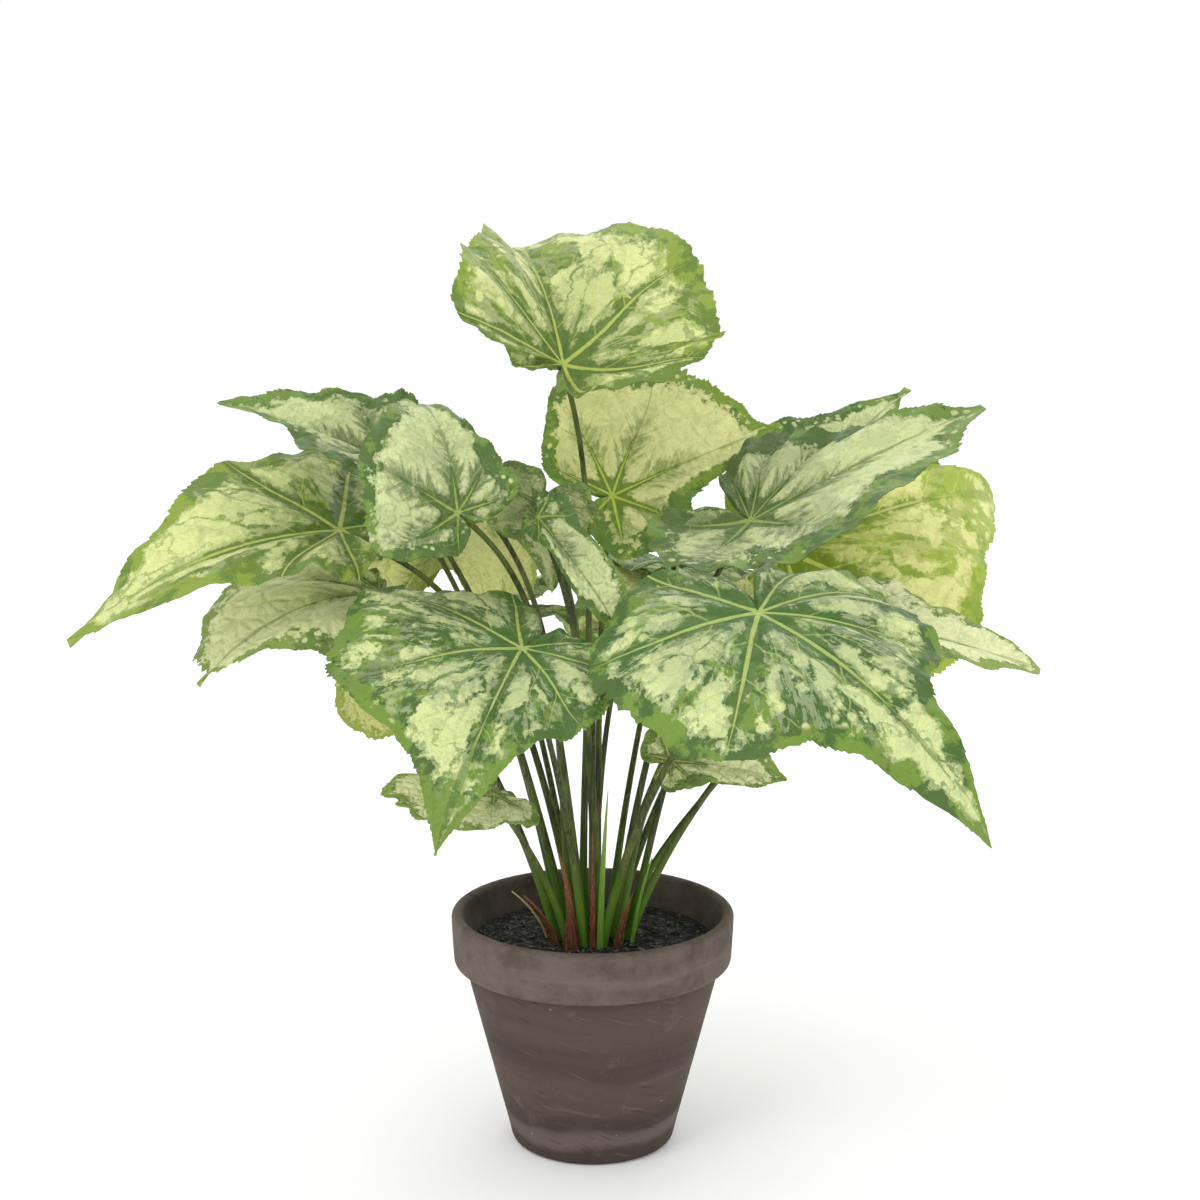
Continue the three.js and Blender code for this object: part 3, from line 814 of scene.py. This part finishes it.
@dataclass
class Blade:
    """A leaf blade: a thin bent, folded and waved sheet with raised veins and a toothed margin."""

    plan: LeafPlan
    seed: float
    thickness: float = 0.5
    steps: int = 28
    lobe: float = 0.04
    tooth: float = 0.036
    saws: float = 17.0
    notches: float = 5.5
    points: float = 43.0
    pucker: float = 0.028
    ruffle: float = 0.022
    ruffles: float = 7.0
    half_width: float = 0.56
    ridge: float = 0.7
    quilt: float = 0.8
    crinkle: float = 0.25
    curl: float = 0.011
    arch: float = 5.0
    turns: list[float] = field(init=False)

    OUTLINE = (
        (0, 1.0), (4, 0.87), (9, 0.75), (16, 0.66), (27, 0.605), (45, 0.59), (70, 0.585),
        (100, 0.575), (125, 0.54), (148, 0.46), (163, 0.34), (173, 0.18), (180, 0.05),
    )
    VEINS = (0.0, 50.0, 98.0, 142.0, 180.0)
    COLUMNS = (90, 66, 58, 44)

    def __post_init__(self) -> None:
        """Works out the blade's own directions and its columns of points."""
        self.hub = np.array(self.plan.hub)
        chord = np.array(self.plan.tip) - self.hub
        droop = math.radians(self.plan.droop)
        reach = float(np.linalg.norm(chord))
        self.bend = 2 * math.sin(droop / 2) / reach
        self.length = droop / self.bend
        self.forward = chord / reach
        level = np.array((0.0, 0.0, 1.0)) - self.forward * self.forward[2]
        level /= np.linalg.norm(level)
        roll = math.radians(self.plan.roll)
        self.normal = level * math.cos(roll) + np.cross(self.forward, level) * math.sin(roll)
        self.left = np.cross(self.normal, self.forward)
        half = []
        for low, high, count in zip(self.VEINS, self.VEINS[1:], self.COLUMNS):
            for i in range(count):
                t = i / count
                t = t**1.7 if low == 0 else t - 0.5 * math.sin(2 * math.pi * t) / (2 * math.pi)
                half.append(low + (high - low) * t)
        self.turns = [-180.0] + [-t for t in reversed(half)] + half[1:] + [180.0]

    def outline(self, away: Numbers) -> Numbers:
        """The outline's reach at each turn from the midrib, as a smooth curve through the table.

        Args:
            away: turns from 0 to 180 degrees.

        Returns:
            Shares of the length.
        """
        x, y = np.array(self.OUTLINE).T
        steps = np.diff(y) / np.diff(x)
        slope = np.concatenate([[0.9 * steps[0]], (y[2:] - y[:-2]) / (x[2:] - x[:-2]), [steps[-1]]])
        i = np.clip(np.searchsorted(x, away) - 1, 0, len(x) - 2)
        span = x[i + 1] - x[i]
        t = (away - x[i]) / span
        t2, t3 = t * t, t * t * t
        value = (2 * t3 - 3 * t2 + 1) * y[i] + (t3 - 2 * t2 + t) * slope[i] * span
        return value + (3 * t2 - 2 * t3) * y[i + 1] + (t3 - t2) * slope[i + 1] * span

    def between(self, away: Numbers) -> Numbers:
        """The number of the main vein that each turn lies at, with its way to the next as a fraction."""
        return np.interp(away, self.VEINS, range(len(self.VEINS)))

    def smooth_margin(self, turn: Numbers) -> tuple[Numbers, Numbers]:
        """The margin before its teeth.

        Args:
            turn: turns from the midrib in degrees, left positive.

        Returns:
            The flat distance from the hub in millimetres, and what the lobes add to it as a share.
        """
        left, right = self.plan.halves
        away = np.minimum(180, np.abs(turn))
        half = 1 + (np.where(turn > 0, left, right) - 1) * smoothstep(0, 35, away)
        half += ((left + right) / 2 - half) * smoothstep(160, 180, away)
        shoulder = np.where(turn > 0, *self.plan.shoulders)
        half = half * (1 + shoulder * smoothstep(0, 16, away) * smoothstep(58, 22, away))
        fullness = half * (1 + (self.plan.rear - 1) * smoothstep(75, 150, away))
        lobe = self.lobe * np.cos(2 * np.pi * self.between(away))
        return self.length * fullness * self.outline(away), lobe

    def teeth(self, turn: Numbers) -> Numbers:
        """Uneven teeth, leaning towards the tip, by the way along the margin.

        Args:
            turn: the columns' turns.

        Returns:
            What each adds to the reach, as a share.
        """
        smooth, lobe = self.smooth_margin(turn)
        reach = smooth * (1 + lobe)
        angle = np.radians(turn)
        margin = np.stack([reach * np.cos(angle), reach * np.sin(angle)], -1)
        way = np.concatenate([[0], np.cumsum(np.linalg.norm(np.diff(margin, axis=0), axis=1))])
        run = np.abs(way - way[len(way) // 2]) / self.length
        wave = run * self.saws + 0.6 * np.sin(run * 31 + self.seed) + 0.4 * np.sin(run * 53 + 2 * self.seed)
        saw = 1 - np.mod(wave, 1)
        big = np.minimum(1, 1.6 * (1 - np.mod(run * self.notches + 0.5 * np.sin(run * 13 + self.seed), 1)))
        fine = 1 - np.mod(run * self.points + 0.7 * np.sin(run * 19 + self.seed), 1)
        jag = 0.7 * (saw - 0.5) + 0.6 * (big - 0.6) + 0.55 * (fine - 0.5)
        size = self.tooth * (0.7 + 0.3 * np.sin(run * 9 + self.seed))
        return size * jag * smoothstep(0.0, 0.12, run) * smoothstep(180, 172, np.abs(turn))

    def arc_end(self, slope: float | Numbers, turning: Numbers, run: Numbers) -> tuple[Numbers, ...]:
        """Where an arc ends that sets off at a slope and turns down as it goes.

        Args:
            slope: the first slope in radians.
            turning: radians for each millimetre.
            run: the arc's length in millimetres.

        Returns:
            How far along it ends, how high, and its last slope.
        """
        half = turning * run / 2
        chord = run * np.sinc(half / np.pi)
        return chord * np.cos(slope - half), chord * np.sin(slope - half), slope - 2 * half

    def sheet(self, turn: Numbers, share: Numbers, tooth: Numbers) -> tuple[Numbers, ...]:
        """The blade's middle surface and what its materials read.

        Args:
            turn: each point's turn from the midrib, left positive.
            share: each point's share of the way from the hub to the margin.
            tooth: the margin's teeth in that column.

        Returns:
            The places, the flat places with the seed, and the places among the veins.
        """
        plan, length, seed = self.plan, self.length, self.seed
        away = np.minimum(180, np.abs(turn))
        smooth, lobe = self.smooth_margin(turn)
        reach = smooth * share * (1 + (lobe + tooth * share**3) * share)
        bow = self.arch * np.sin(np.pi * share) * np.sin(np.radians(np.minimum(away * 1.8, 180)))
        bow += 1.5 * np.sin(2 * np.pi * share + seed + turn / 23) * smoothstep(180, 150, away)
        angle = np.radians((turn - np.sign(turn) * bow * share) * (1 + np.sign(turn) * plan.skew / 180))
        x = reach * np.cos(angle)
        y = np.abs(reach * np.sin(angle))
        side = np.sign(np.sin(angle))
        nape = plan.droop / 2 if plan.nape is None else plan.nape
        turning = np.where(x < 0, math.radians(nape) / length, self.bend)
        along, rise, slope = self.arc_end(math.radians(plan.droop / 2), turning, x)
        fold = math.radians(plan.fold) * smoothstep(-0.7 * length, -0.1 * length, x)
        cupping = math.radians(plan.cup) / (self.half_width * length)
        out, lift, _ = self.arc_end(fold, np.full_like(y, cupping), y)
        gap = np.radians(np.minimum(np.min([np.abs(away - vein) for vein in self.VEINS[:-1]], axis=0), 60))
        across, beside = reach * np.sin(gap), reach * np.cos(gap)
        cell = np.abs(np.mod(((beside - RIB_LEAN * across) / length + RIB_START) / RIB_STEP, 2) - 1)
        swell = self.pucker * np.sin(np.pi * 0.85 * share) * 0.5
        swell *= 1 - np.cos(2 * np.pi * self.between(away))
        ruffle = self.ruffle * share**4 * np.sin(np.radians(self.ruffles * turn))
        wave = np.sin(np.radians(turn * 23) + seed + 1.5 * np.sin(np.radians(turn * 4)))
        height = lift + length * (swell + ruffle + self.curl * share**6 * wave)
        quilt = self.quilt * (1 - cell**3) * smoothstep(0, 0.12 * length, across)
        height += quilt * smoothstep(1.0, 0.8, share)
        height += self.ridge * np.exp(-((across / 0.8) ** 2)) * smoothstep(0.95, 0.3, share)
        height += self.crinkle * np.sin(x * 0.43 + 2 * seed) * np.sin(y * 0.51 + seed) * share
        place = self.hub + np.outer(along - np.sin(slope) * height, self.forward)
        place += np.outer(rise + np.cos(slope) * height, self.normal) + np.outer(side * out, self.left)
        flat = np.stack([x / length, side * y / length, np.full_like(x, seed)], -1)
        edge = smooth * (1 + lobe) * (1 - share) / length
        return place * MM, flat, np.stack([across / length, beside / length, edge], -1)

    def build(self, upper: Material, lower: Material) -> None:
        """Lays a grid over the blade, thickens it and dresses it.

        Args:
            upper: the upper side's material.
            lower: the lower side's material.
        """
        deselect()
        columns = len(self.turns)
        bpy.ops.mesh.primitive_grid_add(x_subdivisions=columns - 1, y_subdivisions=self.steps, size=2)
        blade = take(f"blade_{self.plan.name}")
        mesh = blade.data
        grid = np.empty(len(mesh.vertices) * 3)
        mesh.vertices.foreach_get("co", grid)
        grid = grid.reshape(-1, 3)
        column = np.rint((1 - grid[:, 0]) / 2 * (columns - 1)).astype(int)
        even = (grid[:, 1] + 1) / 2
        share = even * (1 + 0.25 * (1 - even))
        turns = np.array(self.turns)
        place, flat, veins = self.sheet(turns[column], share, self.teeth(turns)[column])
        mesh.vertices.foreach_set("co", place.ravel())
        for name, values in (("leaf_place", flat), ("vein_place", veins)):
            layer = mesh.attributes.new(name, "FLOAT_VECTOR", "POINT")
            layer.data.foreach_set("vector", values.ravel())
        bpy.ops.object.mode_set(mode="EDIT")
        bpy.ops.mesh.select_all(action="SELECT")
        bpy.ops.mesh.remove_doubles(threshold=1e-6)
        bpy.ops.object.mode_set(mode="OBJECT")
        mesh.materials.append(upper)
        mesh.materials.append(lower)
        thicken(blade, self.thickness, 1)
        finish_piece(blade, 60, "leaf", f"leaf_{self.plan.name}")


@dataclass
class Stem:
    """The bare stem that carries one blade."""

    blade: Blade
    foot: Vector
    lean: float
    aim: float = 0.4
    depth: float = 10.0
    thick: float = 2.1
    thin: float = 1.15
    flare: float = 0.45
    knob: float = 0.35
    gap: float = 0.7
    settle: float = 0.3
    points: int = 30

    def route(self) -> list[Vector]:
        """The stem's middle line, from under the soil to just under its leaf.

        Returns:
            The points in millimetres.
        """
        plan, foot = self.blade.plan, self.foot
        hub = Vector(self.blade.hub)
        level = Vector((hub.x - foot.x, hub.y - foot.y, 0))
        outward = Vector((foot.x, foot.y, 0)).normalized()
        rising = (outward * self.lean + level / (hub.z - foot.z) * self.aim + Vector((0, 0, 1))).normalized()
        steep, pitch = math.radians(plan.arrival), math.radians(plan.droop / 2)
        arriving = level.normalized() * math.cos(steep) + Vector((0, 0, math.sin(steep)))
        facing = Vector(self.blade.normal * math.cos(pitch) - self.blade.forward * math.sin(pitch))
        end = hub - facing * self.gap
        reach = (end - foot).length
        near = foot + rising * (reach * plan.rise)
        far = end - arriving * (reach * self.settle)
        line = [foot - rising * self.depth]
        for i in range(self.points):
            t = i / (self.points - 1)
            s = 1 - t
            line.append(foot * s**3 + near * (3 * s * s * t) + far * (3 * s * t * t) + end * t**3)
        return line

    def build(self, skin: Material) -> None:
        """Draws the stem as a tapering round bar.

        Args:
            skin: its material.
        """
        deselect()
        bpy.ops.curve.primitive_nurbs_path_add()
        curve = take(f"stalk_{self.blade.plan.name}").data
        curve.splines.clear()
        line = self.route()
        spline = curve.splines.new("POLY")
        spline.points.add(len(line) - 1)
        for i, (point, place) in enumerate(zip(spline.points, line)):
            t = max(0, i - 1) / (self.points - 1)
            point.co = (*(place * MM), 1)
            radius = self.thick + (self.thin - self.thick) * math.sqrt(t)
            radius += self.flare * math.exp(-t * 9) + self.knob * math.exp(-((1 - t) * 22))
            point.radius = radius * MM
        curve.bevel_depth = 1
        curve.bevel_resolution = 2
        curve.use_fill_caps = True
        bpy.ops.object.convert(target="MESH")
        stem = take(f"stalk_{self.blade.plan.name}")
        bpy.ops.object.transform_apply()
        stem.data.materials.clear()
        stem.data.materials.append(skin)
        finish_piece(stem, 60, "stem", f"stem_{self.blade.plan.name}")


@dataclass(frozen=True)
class Sheath:
    """A thin tapering sheath between the stems."""

    name: str
    foot: Point
    tip: Point
    width: float
    finish: SheathFinish
    thickness: float = 0.6
    rows: int = 14
    columns: int = 6
    sunk: float = 6.0
    hollow: float = 0.35

    def build(self) -> None:
        """Draws the sheath as a flattened bar that thins to its tip."""
        foot, tip = Vector(self.foot), Vector(self.tip)
        rising = ((tip - foot).normalized() + Vector((0, 0, 1))).normalized()
        side = Vector((-foot.y, foot.x, 0)).normalized()
        out = side.cross(rising).normalized()
        knee = foot + rising * ((foot - tip).length / 2)
        deselect()
        bpy.ops.mesh.primitive_grid_add(x_subdivisions=self.columns, y_subdivisions=self.rows, size=2)
        piece = take(f"husk_{self.name}")
        for vertex in piece.data.vertices:
            u, v = vertex.co.x, (vertex.co.y + 1) / 2
            t = (v * (self.rows + 2) - 2) / self.rows
            if t < 0:
                middle = foot + rising * (t * self.rows / 2 * self.sunk)
            else:
                middle = foot * (1 - t) ** 2 + knee * (2 * t * (1 - t)) + tip * t * t
            width = self.width / 2 * min(1.0, 1.02 - max(0.0, t) ** 1.8)
            vertex.co = (middle + side * (u * width) - out * (self.hollow * width * (1 - u * u))) * MM
        piece.data.materials.append(self.finish.material())
        thicken(piece, self.thickness)
        finish_piece(piece, 60, "sheath", f"sheath_{self.name}")


@dataclass(frozen=True)
class Crown:
    """Where the stems stand: evenly spaced in rings, in the order of their leaves' directions."""

    rings: tuple[tuple[str, float, float], ...] = (
        ("outer", 17.2, 0.08), ("middle", 10.6, 0.03), ("inner", 4.2, 0.0),
    )

    def feet(self, plans: tuple[LeafPlan, ...]) -> dict[str, tuple[Vector, float]]:
        """Each leaf's foot and how far its stem leans outwards there.

        Args:
            plans: every leaf.

        Returns:
            The foot and the lean by leaf name.
        """
        places = {}
        for name, radius, lean in self.rings:
            bearings = sorted((math.atan2(p.hub[1], p.hub[0]), p.name) for p in plans if p.ring == name)
            step = 2 * math.pi / len(bearings)
            start = sum(bearing - i * step for i, (bearing, _) in enumerate(bearings)) / len(bearings)
            for i, (_, leaf) in enumerate(bearings):
                angle = start + i * step
                places[leaf] = Vector((radius * math.cos(angle), radius * math.sin(angle), SOIL_TOP)), lean
        return places


LEAVES = (
    LeafPlan("top", "inner", (-13, -20, 362), (-44, 82, 407), roll=4, droop=60, fold=24, cup=1, nape=-220,
             halves=(0.86, 1.03), skew=-36, rear=0.5, shoulders=(0.27, 0.2), look=Look.MOTTLED_SUNLIT),
    LeafPlan("upper_back", "inner", (9, 40, 296), (86, 75, 324), roll=52, droop=12, fold=12, cup=12, nape=20,
             halves=(1.27, 0.7), skew=-20, rear=0.62, shoulders=(0.2, 0.0), look=Look.HEARTED_SUNLIT),
    LeafPlan("right_upper", "middle", (71, 3, 290), (173, 28, 338), roll=15, droop=5, cup=1, nape=-90,
             halves=(0.9, 0.92), skew=-80, rear=0.85, shoulders=(0.3, 0.25)),
    LeafPlan("right_back", "middle", (90, 56, 268), (202, 138, 279), roll=55, droop=80, fold=5, nape=0,
             halves=(0.55, 1.05), skew=0, rear=0.6, shoulders=(-0.1, 0.1), arrival=65,
             look=Look.MOTTLED_GLOWING),
    LeafPlan("right_behind", "middle", (110, 113, 292), (158, 158, 332), roll=30, cup=10, nape=0,
             halves=(0.85, 1.3)),
    LeafPlan("front_right", "outer", (68, -100, 268), (154, -153, 190), roll=20, droop=50, fold=5, cup=40,
             nape=20, halves=(1.0, 1.0), skew=-40, rear=0.82, shoulders=(-0.05, -0.02), look=Look.MOTTLED),
    LeafPlan("right_far", "outer", (114, 4, 243), (197, -12, 226), roll=18, halves=(0.85, 0.8), rear=0.5,
             shoulders=(0.0, 0.25), look=Look.HEARTED_PALE),
    LeafPlan("front_left", "outer", (-29, -85, 250), (-59, -165, 190), roll=-15, droop=40, fold=8, cup=15,
             halves=(0.86, 1.25), skew=-20, rear=0.66, shoulders=(0.1, 0.0), look=Look.MOTTLED),
    LeafPlan("left_big", "middle", (-111, -20, 289), (-219, -55, 249), roll=-25, droop=50, cup=10,
             halves=(0.62, 0.85), skew=-30, rear=0.65, shoulders=(0.42, 0.15), arrival=22, rise=0.66,
             look=Look.MOTTLED_SUNLIT),
    LeafPlan("left_upper", "middle", (-92, 0, 317), (-169, 40, 339), roll=-20, droop=10, fold=30, cup=10,
             halves=(0.8, 0.72), rear=0.6, shoulders=(0.0, 0.35)),
    LeafPlan("left_round", "middle", (-56, -70, 305), (-75, -18, 345), droop=76, fold=12, cup=10, nape=-100,
             halves=(1.0, 0.7), skew=40, rear=0.45, shoulders=(0.2, 0.2), arrival=32, rise=0.55),
    LeafPlan("left_lower", "outer", (-95, -8, 259), (-168, -44, 228), roll=-18, droop=60, fold=5,
             halves=(1.0, 1.05), rear=0.42, shoulders=(0.1, 0.45), look=Look.HEARTED_PALE),
    LeafPlan("left_yellow", "outer", (-74, 54, 269), (-108, 124, 210), rear=0.6, look=Look.HEARTED_GLOWING),
    LeafPlan("low_left", "outer", (-43, -45, 176), (-82, -70, 180), roll=-16, droop=10, fold=5, cup=10,
             nape=-40, halves=(1.0, 1.1), rear=0.5, shoulders=(0.6, 0.6), look=Look.HEARTED_PALE),
    LeafPlan("left_behind", "outer", (-82, 43, 224), (-90, 67, 173), halves=(1.2, 1.0),
             shoulders=(0.45, 0.2), look=Look.HEARTED_GLOWING),
    LeafPlan("centre_droop", "middle", (-23, -52, 300), (13, -72, 253), roll=35, fold=20, cup=10,
             halves=(0.4, 0.34), rear=0.6, shoulders=(0.4, 0.4)),
    LeafPlan("centre_up", "inner", (-23, -39, 304), (-18, -17, 263), droop=10, fold=15, halves=(1.0, 0.9),
             rear=1.1),
    LeafPlan("centre_olive", "middle", (-46, -9, 295), (-40, 24, 252), fold=20, halves=(0.8, 0.8), rear=0.7,
             shoulders=(0.9, 0.7), look=Look.HEARTED_GLOWING),
    LeafPlan("centre_right", "middle", (17, 42, 235), (26, 92, 252), fold=15, halves=(0.9, 0.8), rear=0.75,
             shoulders=(0.6, 0.6), look=Look.HEARTED_SUNLIT),
    LeafPlan("right_centre", "outer", (69, 12, 248), (72, 52, 256), halves=(0.9, 0.75), rear=0.75,
             look=Look.HEARTED_GLOWING),
    LeafPlan("low_right", "outer", (35, -26, 187), (84, -34, 181), roll=50, cup=10, halves=(0.74, 0.58),
             rear=0.8, shoulders=(0.3, 0.35), look=Look.HEARTED_PALE),
    LeafPlan("back_right", "outer", (40, 106, 252), (68, 182, 200), roll=5, droop=40, cup=25,
             halves=(0.95, 0.8), look=Look.MOTTLED),
    LeafPlan("back_left", "outer", (-44, 96, 240), (-84, 166, 188), roll=-5, droop=40, cup=25,
             halves=(0.9, 0.95)),
    LeafPlan("back_middle", "outer", (0, 88, 230), (-4, 162, 190), droop=45, fold=12, cup=25,
             halves=(0.7, 0.6), look=Look.MOTTLED),
    LeafPlan("back_low", "outer", (74, 38, 182), (126, 86, 168), droop=35, halves=(0.75, 0.8), rear=0.45,
             look=Look.HEARTED_PALE),
)


RUSSET = SheathFinish("russet", (96, 58, 38), (136, 84, 56))
STRAW = SheathFinish("straw", (196, 170, 120), (206, 186, 140))
RED = SheathFinish("red", (112, 50, 36), (104, 66, 48), 0.11, 0.15)
FRESH = SheathFinish("fresh", (96, 150, 44), (120, 160, 60), 0.1, 0.16)

SHEATHS = (
    Sheath("left_brown", (-17, -13.8, 97), (-31, -24, 124), 6, RUSSET),
    Sheath("left_pale", (-21.1, -4.1, 97), (-37, -8, 121), 3.5, STRAW),
    Sheath("front_brown", (-9.8, -22, 97), (-11, -26, 117), 7, RUSSET),
    Sheath("tall_brown", (-7.9, -18, 97), (-15, -31, 146), 3.8, RUSSET),
    Sheath("thin_red", (0.2, -20.5, 97), (0, -33, 157), 2.6, RED),
    Sheath("green_blade", (3.4, -21.2, 97), (7, -36, 176), 2.8, FRESH),
    Sheath("right_brown", (11.4, -19, 97), (18, -29, 126), 4.5, RUSSET),
    Sheath("green_short", (18.2, -10.8, 97), (27, -13, 138), 3.2, FRESH),
)


@dataclass
class Plant:
    """All leaves on their stems, with the sheaths between them."""

    plans: tuple[LeafPlan, ...] = LEAVES
    crown: Crown = field(default_factory=Crown)

    def build(self) -> None:
        """Builds each blade, stem and sheath."""
        skins = {look: (look.value.material(), look.value.under_side().material()) for look in Look}
        bark = StemFinish().material()
        feet = self.crown.feet(self.plans)
        for i, plan in enumerate(self.plans):
            blade = Blade(plan, seed=1.7 * i + 0.9)
            blade.build(*skins[plan.look])
            foot, lean = feet[plan.name]
            Stem(blade, foot, lean).build(bark)
        for sheath in SHEATHS:
            sheath.build()


# ---- Floor, light and camera ----
@dataclass(frozen=True)
class Studio:
    """A pale floor, soft light from all round and the camera of the photo."""

    eye: Point = (0.0034, -1.039, 0.454)
    pitch: float = 10.85
    lens: float = 70.62
    ambient: float = 1.0
    middle: Point = (0.0, 0.0, 0.2)

    def floor(self) -> None:
        """Lays the plain floor."""
        deselect()
        bpy.ops.mesh.primitive_plane_add(size=40)
        floor = take("floor")
        p = Painter("pale_floor")
        tint = p.place.cloud(3, 2).rise(0.3, 0.7, 0.02)
        colour = p.blend(tint, (255, 255, 255), (253, 253, 253))
        floor.data.materials.append(p.surface(colour, 0.9, Specular_IOR_Level=0.1))

    def lamp(self, name: str, place: Point, size: float, watts: float) -> None:
        """Hangs a square soft lamp that faces the plant.

        Args:
            name: the lamp's name.
            place: in metres.
            size: of its side.
            watts: its power.
        """
        deselect()
        bpy.ops.object.light_add(type="AREA", location=place)
        lamp = take(name)
        lamp.data.size = size
        lamp.data.energy = watts
        lamp.rotation_euler = (Vector(self.middle) - Vector(place)).to_track_quat("-Z", "Y").to_euler()

    def build(self) -> None:
        """Sets floor, lamps, sky and camera."""
        self.floor()
        self.lamp("key_light", (-1.2, -1.5, 2.0), 1.0, 16)
        self.lamp("fill_light", (1.3, -1.7, 0.45), 1.8, 7)
        self.lamp("back_light", (0.6, 1.6, 1.6), 1.6, 9)
        world = bpy.data.worlds.new("soft_sky")
        bpy.context.scene.world = world
        world.use_nodes = True
        sky = world.node_tree.nodes["Background"]
        sky.inputs["Color"].default_value = (1, 1, 1, 1)
        sky.inputs["Strength"].default_value = self.ambient
        bpy.ops.object.camera_add(location=self.eye, rotation=(math.radians(90 - self.pitch), 0, 0))
        camera = bpy.context.object
        camera.data.lens = self.lens
        camera.data.sensor_width = 36
        camera.data.clip_start = 0.01
        bpy.context.scene.camera = camera
        bpy.context.scene.view_settings.view_transform = "Standard"


def write_sizes() -> None:
    """Updates the view layer.
    """
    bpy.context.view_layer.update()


def main() -> None:
    """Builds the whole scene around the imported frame."""
    logging.basicConfig(level=logging.INFO, format="%(name)s: %(message)s")
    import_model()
    Studio().build()
    pot = ClayPot()
    pot.build()
    SoilBed(pot).build()
    Plant().build()
    write_sizes()


if __name__ == "__main__":
    main()
